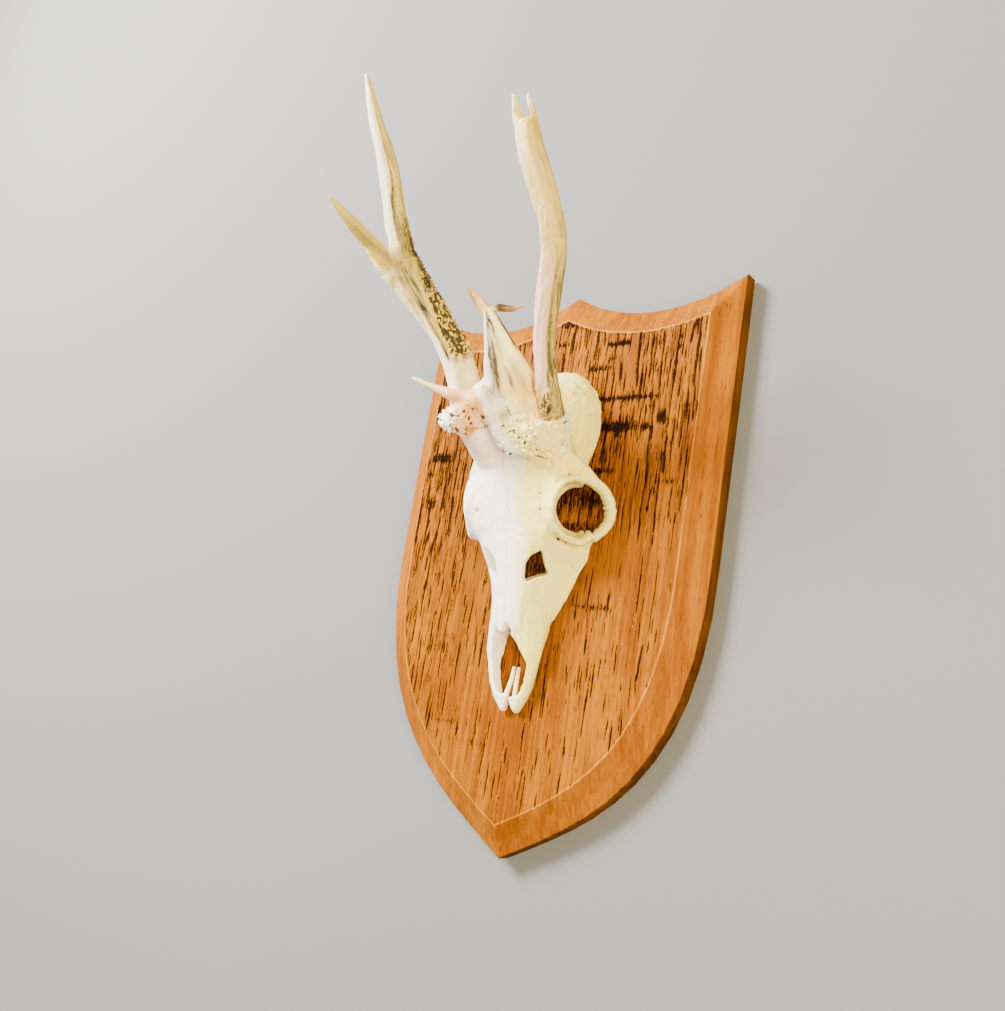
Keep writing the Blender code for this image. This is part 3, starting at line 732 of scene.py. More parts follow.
@dataclass
class Skin:
    """One closed skin drawn over several solids, with what is carved and painted on it."""

    name: str
    solids: tuple[str, ...]
    voxel: float  # mm
    swell: float = 0.17  # mm, closes the clearance between neighbouring solids
    margin: float = 0.02  # mm, the least distance from the sides of the solids' whole box
    most: int = 194_000  # triangles
    give: tuple[float, float] = (0.6, 0.615)  # the shares moved in and back out by each round of relaxing
    lie_rounds: int = 28  # of softening, where one limb's lie passes into the next one's
    grain_rounds: int = 16
    grain_length: float = 0.13  # how much the grain's pattern is drawn out along a limb
    points: np.ndarray = field(init=False, repr=False)
    edges: np.ndarray = field(init=False, repr=False)
    owner: np.ndarray = field(init=False, repr=False)
    masks: dict[str, np.ndarray] = field(init=False, repr=False)
    grain: np.ndarray = field(init=False, repr=False)
    mesh: bpy.types.Mesh = field(init=False, repr=False)

    def draw(
        self, nodes: dict[str, bpy.types.Object], extras: bmesh.types.BMesh, trims: tuple[Trim, ...] = ()
    ) -> None:
        """Wraps the solids in one even skin.

        Args:
            nodes: The frame's objects by name.
            extras: Small closed shapes that join the skin.
            trims: How some of the solids are narrowed first.
        """
        shape = bmesh.new()
        for solid in self.solids:
            start = len(shape.verts)
            shape.from_mesh(nodes[solid].data)
            shape.verts.ensure_lookup_table()
            for trim in trims:
                if trim.solid == solid:
                    trim.cut(shape.verts[start:])
        bmesh.ops.remove_doubles(shape, verts=shape.verts, dist=MERGE)
        shape.normal_update()
        for vert in shape.verts:
            vert.co += vert.normal * self.swell * MM
        spare = bpy.data.meshes.new("spare")
        extras.to_mesh(spare)
        extras.free()
        shape.from_mesh(spare)
        bpy.data.meshes.remove(spare)
        mesh = bpy.data.meshes.new(self.name + "_wrap")
        shape.to_mesh(mesh)
        shape.free()
        wrap = new_object(self.name + "_wrap", mesh)
        remesh = wrap.modifiers.new("even skin", "REMESH")
        remesh.mode = "VOXEL"
        remesh.voxel_size = self.voxel * MM
        graph = bpy.context.evaluated_depsgraph_get()
        self.mesh = bpy.data.meshes.new_from_object(wrap.evaluated_get(graph))
        self.mesh.name = self.name
        bpy.data.objects.remove(wrap)
        bpy.data.meshes.remove(mesh)
        self._keep_largest()
        self._read()
        self.owner = self._owners(nodes)
        self.masks = {mask: np.zeros(len(self.points)) for mask in MASKS}
        self.grain = self.points * np.array([1.0, 1.0, 0.4])

    def _keep_largest(self) -> None:
        """Drops every island of the mesh but the largest."""
        shape = bmesh.new()
        shape.from_mesh(self.mesh)
        shape.verts.ensure_lookup_table()
        island = np.full(len(shape.verts), -1)
        sizes: list[int] = []
        for first in shape.verts:
            if island[first.index] >= 0:
                continue
            label, queue, size = len(sizes), deque([first]), 0
            island[first.index] = label
            while queue:
                vert = queue.popleft()
                size += 1
                for edge in vert.link_edges:
                    other = edge.other_vert(vert)
                    if island[other.index] < 0:
                        island[other.index] = label
                        queue.append(other)
            sizes.append(size)
        largest = int(np.argmax(sizes))
        loose = [vert for vert in shape.verts if island[vert.index] != largest]
        if loose:
            log.info("%s: dropped %d loose points in %d islands", self.name, len(loose), len(sizes) - 1)
            bmesh.ops.delete(shape, geom=loose, context="VERTS")
            shape.to_mesh(self.mesh)
        shape.free()

    def _read(self) -> None:
        """Reads the mesh's points, in mm, and its edges."""
        self.points = rows_of(self.mesh.vertices, "co") / MM
        pairs = np.empty(len(self.mesh.edges) * 2, np.int32)
        self.mesh.edges.foreach_get("vertices", pairs)
        self.edges = pairs.reshape(-1, 2)
        self._degree = np.bincount(self.edges.ravel(), minlength=len(self.points)).astype(float)

    def _owners(self, nodes: dict[str, bpy.types.Object]) -> np.ndarray:
        """Finds the solid that each point lies on.

        Args:
            nodes: The frame's objects by name.

        Returns:
            For each point, the solid's place in the skin's list.
        """
        verts: list[Vector] = []
        faces: list[list[int]] = []
        labels: list[int] = []
        for label, solid in enumerate(self.solids):
            base = len(verts)
            data = nodes[solid].data
            verts.extend(vert.co for vert in data.vertices)
            for face in data.polygons:
                faces.append([base + index for index in face.vertices])
                labels.append(label)
        tree = BVHTree.FromPolygons(verts, faces)
        found = [tree.find_nearest(Vector(point) * MM)[2] for point in self.points]
        return np.array([labels[index] for index in found])

    def on(self, *solids: str) -> np.ndarray:
        """1 on the points that lie on the solids of these names, and 0 elsewhere."""
        wanted = [self.solids.index(solid) for solid in solids]
        return np.isin(self.owner, wanted).astype(float)

    def around(self, values: np.ndarray) -> np.ndarray:
        """The mean of each point's neighbours.

        Args:
            values: One number or one row of numbers for each point.

        Returns:
            The means, in the same shape.
        """
        first, second = self.edges[:, 0], self.edges[:, 1]
        count = len(self.points)
        columns = values.reshape(count, -1)
        total = np.empty_like(columns)
        for k in range(columns.shape[1]):
            column = columns[:, k]
            total[:, k] = np.bincount(first, column[second], count)
            total[:, k] += np.bincount(second, column[first], count)
        return (total / self._degree[:, None]).reshape(values.shape)

    def lie(self, nodes: dict[str, bpy.types.Object], axes: dict[str, int]) -> Lie:
        """Measures the points of some solids along and round their own limbs.

        Args:
            nodes: The frame's objects by name.
            axes: For each solid, the world axis that it runs along.

        Returns:
            The measures. Points of other solids lie 6 mm out from an upright line.
        """
        count = len(self.points)
        lie = Lie(
            np.zeros(count), np.zeros(count), np.tile([0.0, -6.0, 0.0], (count, 1)),
            np.tile([0.0, 0.0, 1.0], (count, 1)),
        )
        for solid, axis in axes.items():
            here = self.on(solid) > 0.5
            if not here.any():
                continue
            limb = Limb(nodes[solid], axis, 20 if axis == 2 else 14)
            lie.along[here], lie.out[here], lie.way[here] = limb.measure(self.points[here])
            lie.run[here] = lie.along[here] * limb.length
            scaled = lie.out[here].copy()
            scaled[:, axis] += lie.run[here] * self.grain_length
            self.grain[here] = scaled
        lie.out, lie.way = self.soften(lie.out, self.lie_rounds), self.soften(lie.way, self.lie_rounds)
        self.grain = self.soften(self.grain, self.grain_rounds)
        return lie

    def stain(self, where: np.ndarray | float, **amounts: Any) -> None:
        """Adds to the masks.

        Args:
            where: 1 where the paint goes, fading to 0 beyond it.
            amounts: How much goes on each mask, a number or one for each point.
        """
        for mask, amount in amounts.items():
            self.masks[mask] += where * amount

    def blend(self, steps: int) -> None:
        """Lets the paint run over the lines between two solids.

        Args:
            steps: How far from the lines.
        """
        near = self.borders(steps)
        for mask, values in self.masks.items():
            self.masks[mask] = values + near * (self.soften(values, steps * 2) - values)

    def borders(self, steps: int) -> np.ndarray:
        """Finds the lines between two solids.

        Args:
            steps: How many edges of the mesh count as near.

        Returns:
            1 near a line, fading to 0 beyond.
        """
        first, second = self.edges[:, 0], self.edges[:, 1]
        rim = np.zeros(len(self.points), bool)
        rim[self.edges[self.owner[first] != self.owner[second]].ravel()] = True
        for _ in range(steps):
            hit = rim[first] | rim[second]
            rim[first[hit]] = True
            rim[second[hit]] = True
        return self.soften(rim.astype(float), steps)

    def melt(self, weight: np.ndarray, rounds: int) -> None:
        """Rounds corners over and fills notches.

        Args:
            weight: How strongly each point is moved, from 0 to 1.
            rounds: How many times.
        """
        for _ in range(rounds):
            self.points += 0.5 * weight[:, None] * (self.around(self.points) - self.points)

    def soften(self, values: np.ndarray, rounds: int) -> np.ndarray:
        """The values spread over their neighbours, that many times."""
        for _ in range(rounds):
            values = 0.5 * values + 0.5 * self.around(values)
        return values

    def relax(self, weight: np.ndarray, rounds: int) -> None:
        """Smooths out the solids' flat facets without thinning the shape.

        Args:
            weight: How strongly each point is smoothed, from 0 to 1.
            rounds: How many times.
        """
        strength = weight[:, None]
        for _ in range(rounds):
            self.points += self.give[0] * strength * (self.around(self.points) - self.points)
            self.points -= self.give[1] * strength * (self.around(self.points) - self.points)

    def normals(self) -> np.ndarray:
        """The outward direction at each point."""
        self._write()
        return rows_of(self.mesh.vertex_normals, "vector")

    def raise_by(self, height: np.ndarray) -> None:
        """Moves each point outwards by its height, in mm."""
        self.points += self.normals() * height[:, None]

    def _write(self) -> None:
        """Writes the points back to the mesh."""
        self.mesh.vertices.foreach_set("co", (self.points * MM).astype(np.float32).ravel())
        self.mesh.update()

    def finish(self, material: bpy.types.Material, slot: str) -> bpy.types.Object:
        """Makes the skin a piece of the mount, kept inside the box of all the solids.

        Args:
            material: Its finish.
            slot: The record's material slot. It is not used.

        Returns:
            The new object.
        """
        low, high = (np.array(corner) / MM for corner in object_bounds())
        self.points = np.clip(self.points, low + self.margin, high - self.margin)
        self._write()
        for mask, values in self.masks.items():
            layer = self.mesh.attributes.new(mask, "FLOAT", "POINT")
            layer.data.foreach_set("value", np.clip(values, 0.0, 1.0).astype(np.float32))
        layer = self.mesh.attributes.new("grain", "FLOAT_VECTOR", "POINT")
        layer.data.foreach_set("vector", (self.grain * MM).astype(np.float32).ravel())
        self.mesh.materials.clear()
        self.mesh.materials.append(material)
        piece = new_object(self.name, self.mesh)
        self._thin(piece)
        self.mesh.shade_smooth()
        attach(piece, BODY)
        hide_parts(*self.solids)
        self.mesh.calc_loop_triangles()
        log.info("%s: %d triangles", self.name, len(self.mesh.loop_triangles))
        return piece

    def _thin(self, piece: bpy.types.Object) -> None:
        """Joins triangles where the skin is plainest, until it has few enough.

        Args:
            piece: The skin's object.
        """
        self.mesh.calc_loop_triangles()
        count = len(self.mesh.loop_triangles)
        if count <= self.most:
            return
        thin = piece.modifiers.new("thin", "DECIMATE")
        thin.ratio = self.most / count
        graph = bpy.context.evaluated_depsgraph_get()
        plain = bpy.data.meshes.new_from_object(
            piece.evaluated_get(graph), preserve_all_data_layers=True, depsgraph=graph
        )
        piece.modifiers.clear()
        piece.data = plain
        plain.name = self.name
        bpy.data.meshes.remove(self.mesh)
        self.mesh = plain


# ---------------- antlers


class Side(Enum):
    """The deer's own sides."""

    RIGHT = "right"
    LEFT = "left"


@dataclass
class Antler:
    """One antler's beam and its points."""

    side: Side
    voxel: float = 0.45  # mm
    chip: float = 1.6  # the width of the beam's pearls, mm
    # webs of antler, placed in the front point's box: those that run down from it into the beam, and the
    # one between the left antler's two points
    web_right: Chain = (
        ((0.19, 0.48, 0.62), 2.6), ((0.515, 0.708, 0.144), 3.9), ((0.797, 0.912, -0.134), 4.5),
        ((1.056, 1.096, -0.397), 4.6), ((1.307, 1.235, -0.675), 4.4),
    )
    crotch: Chain = (
        ((1.44, 0.66, 0.43), 1.4), ((1.06, 0.77, 0.11), 2.2), ((0.59, 0.52, 0.43), 1.4),
    )
    web_left: Chain = (
        ((0.46, 0.48, 0.55), 2.4), ((0.62, 0.78, 0.0), 3.0), ((0.82, 0.98, -0.35), 3.6),
        ((1.14, 1.28, -0.83), 3.8), ((1.38, 1.89, -1.545), 3.6), ((1.62, 2.52, -2.20), 3.0),
    )

    def solids(self) -> tuple[str, ...]:
        """The names of the frame's solids that this antler stands for."""
        point = "tine" if self.side is Side.RIGHT else "point"
        parts = ("beam", f"front_{point}", f"rear_{point}")
        return tuple(f"antler_{self.side.value}_{part}" for part in parts)

    def build(self, frame: dict[str, Any], material: bpy.types.Material) -> bpy.types.Object:
        """Draws, carves and paints the antler.

        Args:
            frame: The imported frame.
            material: The antler's finish.

        Returns:
            The finished piece.
        """
        skin = Skin(f"antler_{self.side.value}", self.solids(), self.voxel)
        skin.draw(frame["nodes"], self._webs(frame["nodes"]))
        lie = skin.lie(frame["nodes"], {solid: 2 for solid in self.solids()})
        thick = skin.soften(np.linalg.norm(lie.out, axis=1), 6)
        skin.relax(np.clip(thick / 4.0, 0.18, 1.0), 70)
        steps, rounds = (24, 80) if self.side is Side.RIGHT else (12, 60)
        skin.melt(skin.borders(steps) * ramp(thick, 0.6, 1.6), rounds)
        self._flutes(skin, lie, thick)
        if self.side is Side.RIGHT:
            self._dress_right(skin, lie)
        else:
            self._dress_left(skin, lie)
        skin.blend(20)
        return skin.finish(material, "antler")

    def _webs(self, nodes: dict[str, bpy.types.Object]) -> bmesh.types.BMesh:
        """The webs of antler that run from the points' feet down into the beam.

        Args:
            nodes: The frame's objects by name.

        Returns:
            The extra shapes.
        """
        extras = bmesh.new()
        names = self.solids()
        beam = Limb(nodes[names[0]]).line
        reach, thin, thick = (30.0, 3.4, 5.0) if self.side is Side.RIGHT else (14.0, 2.5, 4.2)
        for solid in names[1:]:
            line = Limb(nodes[solid]).line
            foot = Vector(line[2])
            root = Vector([np.interp(line[0][2] - reach, beam[:, 2], beam[:, k]) for k in range(3)])
            Web(foot, root.lerp(foot, 0.12), thin, thick).add_to(extras)
        for chain in (self.web_right,) if self.side is Side.RIGHT else (self.web_left, self.crotch):
            add_chain(extras, names[1], chain, balls=True)
        if self.side is Side.LEFT:
            down = Vector(beam[1] - beam[4]).normalized()
            Boss(Vector(beam[1]) + down * 5.0, (7.4, 7.0, 14.0), down).add_to(extras)
        return extras

    def _flutes(self, skin: Skin, lie: Lie, thick: np.ndarray) -> None:
        """Carves the shallow lengthwise grooves.

        Args:
            skin: The antler's skin.
            lie: Where its points lie on their limbs.
            thick: The limb's radius at each point, mm.
        """
        room = ramp(thick, 1.6, 4.2)
        lines = Grit.cloud(skin.grain, 2.6, 11, 3)
        broad = Grit.waves(skin.grain, 6.5, 23)
        bumps = Grit.cloud(lie.combed(0.45), 3.2, 27, 2)
        skin.raise_by(room * (0.36 * lines + 0.32 * broad + 0.16 * bumps) + 0.10)

    def _pearls(self, skin: Skin, lie: Lie, band: np.ndarray, caves: float) -> None:
        """Raises chips of antler with black hollows between them.

        Args:
            skin: The antler's skin.
            lie: Where its points lie on their limbs.
            band: 1 where the pearls stand.
            caves: How many deep hollows there are, from 0 to 1.
        """
        place = lie.combed(0.50)
        place = place + 0.95 * np.stack([Grit.waves(place, 1.9, 201 + k) for k in range(3)], 1)
        near, following, share = Grit.pebbles(place, self.chip, 83)
        gap = following - near
        small, beyond, part = Grit.pebbles(place, self.chip * 0.5, 84)
        hollow = ramp(Grit.cloud(place, 2.4, 91, 3), 0.42 - 0.45 * caves, 0.70 - 0.45 * caves)
        high = 1.0 * ramp(gap, 0.0, 0.45) * (0.25 + 1.1 * share)
        high += 0.40 * ramp(beyond - small, 0.0, 0.5) * (0.3 + part)
        skin.raise_by(band * (high - 0.65 - 1.3 * hollow))
        fine = Grit.cloud(place, 1.1, 95, 2)
        cleft = np.maximum(ramp(gap + 0.40 * fine, 0.34, 0.10) * 0.85, hollow)
        pale = ramp(gap, 0.25, 0.6) * ramp(share, 0.35, 0.9)
        skin.stain(band, dirt=0.95 * cleft, speck=0.75, chalk=0.45 * pale, cream=0.35)

    def _dress_right(self, skin: Skin, lie: Lie) -> None:
        """Carves and paints the deer's right antler.

        Args:
            skin: The antler's skin.
            lie: Where its points lie on their limbs.
        """
        along = lie.along
        beam = skin.on("antler_right_beam")
        front = skin.on("antler_right_front_tine")
        rear = skin.on("antler_right_rear_tine")
        drift = 0.26 * Grit.cloud(skin.grain, 4.0, 71)
        inner = lie.side(INNER_SHADED_SIDE) + drift
        foot = ramp(along, 0.42, 0.30) * beam
        crown = ramp(along, 0.66, 0.84) * beam  # where the beam opens into the fork
        fork = np.clip(crown + ramp(along, 0.34, 0.05) * (front + rear), 0.0, 1.0)

        # the pearled band on the inner side of the beam
        start = np.interp(along, (0.0, 0.6, 0.85, 1.0), (-0.38, -0.32, 0.10, 0.40))
        band = ramp(inner - start, 0.0, 0.32) * (1.0 - foot) * beam
        band = np.maximum(band, ramp(inner, 0.45, 0.75) * ramp(along, 0.28, 0.06) * rear)
        self._pearls(skin, lie, skin.soften(band, 5), 0.70)

        # the dark groove beside it, which loses itself in the fork
        groove = hump(inner + 0.50, 0.20) * beam * (1.0 - foot) * ramp(along, 0.92, 0.62)
        groove = skin.soften(groove, 3)
        skin.raise_by(-0.9 * groove)
        lines = Grit.cloud(skin.grain, 1.5, 97, 2)
        skin.stain(groove, dirt=0.80 * ramp(lines, -0.35, 0.25), olive=0.95)

        # painted highlight: chalk white on the side of each limb that the key light falls on
        brink = np.interp(along, (0.30, 0.45, 0.62, 1.0), (-0.46, -0.58, -0.84, -0.90))
        pale = ramp(inner - brink, 0.0, -0.12) * beam
        pale += ramp(inner, 0.0, -0.14) * rear * ramp(along, 0.0, 0.04)
        pale += ramp(inner, -0.50, -0.72) * front
        pale = skin.soften(np.clip(pale, 0.0, 1.0), 2)
        skin.stain(pale, chalk=0.9)
        # painted shadow in the fork, in olive and specks
        shadow = skin.soften(fork * (1.0 - pale) * (1.0 - 0.75 * rear), 9)
        lined = ramp(Grit.cloud(skin.grain, 2.2, 5, 3), -0.35, 0.3)
        skin.stain(shadow, olive=0.42 + 0.45 * lined, speck=0.55 * lined)
        seam = hump(inner - 0.04, 0.13) * rear * ramp(along, 0.9, 0.62)
        skin.stain(seam, olive=0.75, dirt=0.42 * ramp(Grit.cloud(skin.grain, 1.6, 6), -0.1, 0.35))
        # painted shade: olive and specks on the side of both points away from the key light
        skin.stain(
            rear,
            olive=0.50 * ramp(inner, -0.05, 0.25) * ramp(along, 1.0, 0.6) * lined,
            speck=0.16 + 0.56 * ramp(inner, -0.1, 0.1) * ramp(along, 0.85, 0.2),
        )
        skin.stain(
            front,
            olive=0.62 * ramp(inner, -0.5, -0.1) * ramp(along, 1.05, 0.5),
            speck=0.16 + 0.60 * ramp(along, 0.85, 0.1) * ramp(inner, -0.5, 0.0),
        )
        skin.stain(rear * hump(inner - 0.02, 0.16) * hump(along - 0.46, 0.16), peach=0.6, speck=0.3)
        # cream wherever the painted highlight is not
        skin.stain(1.0 - pale, cream=0.80)
        # at the foot: chalk added as painted highlight on the side the key light falls on, peach and specks
        # as painted shade on the other side
        skin.stain(
            foot,
            peach=0.62 * ramp(inner, -0.55, -0.1) * ramp(lines, -0.6, 0.4),
            chalk=0.45 + 0.9 * ramp(inner, -0.15, -0.5),
            speck=0.45 * ramp(inner, -0.3, 0.2),
        )

    def _dress_left(self, skin: Skin, lie: Lie) -> None:
        """Carves and paints the deer's left antler.

        Args:
            skin: The antler's skin.
            lie: Where its points lie on their limbs.
        """
        along = lie.along
        beam = skin.on("antler_left_beam")
        tips = 1.0 - beam
        inner = lie.side(INNER_SHADED_SIDE) + 0.20 * Grit.cloud(skin.grain, 4.5, 19)
        top = np.clip(ramp(along, 0.66, 0.98) * beam + tips, 0.0, 1.0)
        low = ramp(along, 0.66, 0.42) * beam
        lines = Grit.cloud(skin.grain, 1.5, 33, 3)

        seam = hump(inner - 0.16, 0.12) * ramp(along, 0.60, 0.36) * beam
        skin.raise_by(-0.9 * skin.soften(seam, 3))
        skin.stain(seam, dirt=0.30 + 0.5 * Grit.cloud(skin.grain, 1.8, 29))
        # painted shade: olive and specks on the side of the beam away from the key light
        shade = beam * ramp(inner, 0.02, 0.26) * (0.42 + 0.50 * low) * (1.0 - 0.55 * top)
        skin.stain(shade, olive=0.55 + 0.6 * ramp(lines, -0.3, 0.4), speck=0.28)
        # on the beam: lilac as painted cool light on the side the key light falls on, a band of olive, and
        # specks
        skin.stain(
            beam,
            lilac=ramp(inner, 0.22, 0.02) * (0.25 + 0.85 * low) * (1.0 - top),
            olive=0.40 * hump(inner - 0.10, 0.25) * ramp(along, 0.5, 0.7) * ramp(lines, -0.2, 0.3),
            speck=0.20 + 0.22 * low,
        )
        # painted light and shade on the points: chalk on the side the key light falls on, cream and olive on
        # the side away from it
        skin.stain(
            top,
            olive=0.34 * ramp(inner, 0.25, 0.7) * ramp(lines, -0.3, 0.4) * (1.0 - 0.5 * tips),
            cream=0.45 * ramp(inner, -0.9, -0.2),
            chalk=0.5 * ramp(inner, -0.35, -0.75),
            peach=0.22 * hump(inner + 0.30, 0.30),
        )
        skin.stain(tips, chalk=0.6 * ramp(along, 0.55, 1.0))
        skin.stain(1.0, cream=0.50)
        knobs = skin.soften(ramp(along, 0.17, 0.05) * beam * ramp(inner, 0.5, -0.1), 4)
        self._pearls(skin, lie, knobs * 0.7, 0.05)
        skin.stain(knobs, peach=0.6)
        skin.masks["lilac"] *= 1.0 - knobs


# ---------------- skull


class Midline:
    """The skull's centre line, read from the boxes of its paired bones."""

    def __init__(self) -> None:
        """Fits a straight line through the middles of three pairs of bones."""
        heights, middles = [], []
        for bone in ("premaxilla", "maxilla", "cheekbone"):
            right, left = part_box(bone + "_right"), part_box(bone + "_left")
            heights.append((right[0].z + right[1].z) / 2 / MM)
            middles.append((right[0].x + left[1].x) / 2 / MM)
        self.slope, self.start = np.polyfit(heights, middles, 1)

    def across(self, places: np.ndarray) -> np.ndarray:
        """How far each point lies to the deer's left of the centre line, mm."""
        return places[:, 0] - (self.start + self.slope * places[:, 2])


@dataclass(frozen=True)
class Foramen:
    """A small natural hole in the bone."""

    across: float  # mm from the centre line, to the deer's left
    rise: float  # mm above the frontal bone's lower end
    radius: float  # mm
    depth: float  # mm
    dirt: float
    peach: float


@dataclass(frozen=True)
class Splinter:
    """A jag on the rim of the eye socket."""

    turn: float  # degrees round the socket, from the deer's left, upwards
    reach: float  # mm into the opening, or out of it where less than 0
    spread: float  # degrees


@dataclass(frozen=True)
class Socket:
    """The left eye socket's opening, with its broken rim."""

    share: Shares = (0.19, 0.51, 0.40)  # its middle in the cheekbone's box
    looks: Vector = Vector((0.79, -0.60, -0.12))
    reach: float = 21.0  # mm from the middle, past which nothing moves
    half_depth: float = 15.0  # mm along the axis, past which nothing moves
    rim_depth: float = 8.0  # mm along the axis, within which the rim is looked for
    sectors: int = 72
    # degrees round the opening, and its radius there, mm
    opening: tuple[tuple[float, float], ...] = (
        (-180.0, 14.3), (-167.0, 14.6), (-126.0, 14.2), (-81.0, 13.8), (-42.0, 13.1), (10.0, 12.8),
        (36.0, 12.8), (55.0, 12.6), (103.0, 13.2), (136.0, 14.2), (180.0, 14.3),
    )
    splinters: tuple[Splinter, ...] = (
        Splinter(-62.0, 2.3, 3.4), Splinter(-70.0, 1.2, 5.0), Splinter(-42.0, 0.8, 2.6),
        Splinter(14.0, 1.0, 3.2), Splinter(26.0, 0.8, 3.0), Splinter(-104.0, 0.7, 4.0),
        Splinter(-124.0, 0.6, 4.0), Splinter(137.0, -1.0, 3.2), Splinter(122.0, 0.4, 5.0),
    )

    def middle(self) -> np.ndarray:
        """The opening's middle, mm."""
        return in_box("cheekbone_left", self.share)

    def measure(self, points: np.ndarray) -> tuple[np.ndarray, np.ndarray, np.ndarray, np.ndarray]:
        """Where points lie round the socket.

        Args:
            points: Points, three to a row, mm.

        Returns:
            The depth along its axis, the distance from the axis, the turn round it in degrees, and the
            direction straight out from the axis.
        """
        axis = np.array(self.looks.normalized())
        up = np.array([0.0, 0.0, 1.0]) - axis[2] * axis
        up /= np.linalg.norm(up)
        left = np.cross(up, axis)
        away = points - self.middle()
        depth, u, v = away @ axis, away @ left, away @ up
        wide = np.hypot(u, v)
        out = (u[:, None] * left + v[:, None] * up) / (wide[:, None] + 1e-6)
        return depth, wide, np.degrees(np.arctan2(v, u)), out

    def open(self, skin: "Skin") -> None:
        """Widens the opening, thins its rim and breaks it into jags.

        Args:
            skin: The skull's skin.
        """
        depth, wide, turn, out = self.measure(skin.points)
        here = (np.abs(depth) < self.half_depth) & (wide < self.reach)
        step = 360.0 / self.sectors
        sector = ((turn + 180.0) / step).astype(int) % self.sectors
        rim = np.full(self.sectors, 15.0)
        core = here & (np.abs(depth) < self.rim_depth)
        np.minimum.at(rim, sector[core], wide[core])
        for _ in range(3):
            rim = (np.roll(rim, 1) + 2 * rim + np.roll(rim, -1)) / 4
        now = np.interp(turn, np.arange(self.sectors) * step + step / 2 - 180.0, rim, period=360.0)
        goal = np.interp(turn, *zip(*self.opening))
        jag = np.stack([turn * 0.22, turn * 0.0, turn * 0.0], 1)
        goal += 0.30 * Grit.waves(jag, 2.0, 151) + 0.22 * Grit.waves(jag, 0.8, 153)
        for bit in self.splinters:
            goal -= bit.reach * hump(np.abs(turn - bit.turn), bit.spread)
        share = np.clip((self.reach - wide) / (self.reach - now), 0.0, 1.0)
        fade = ramp(np.abs(depth), self.half_depth, 9.0)
        skin.points += out * ((goal - now) * share * fade * here)[:, None]


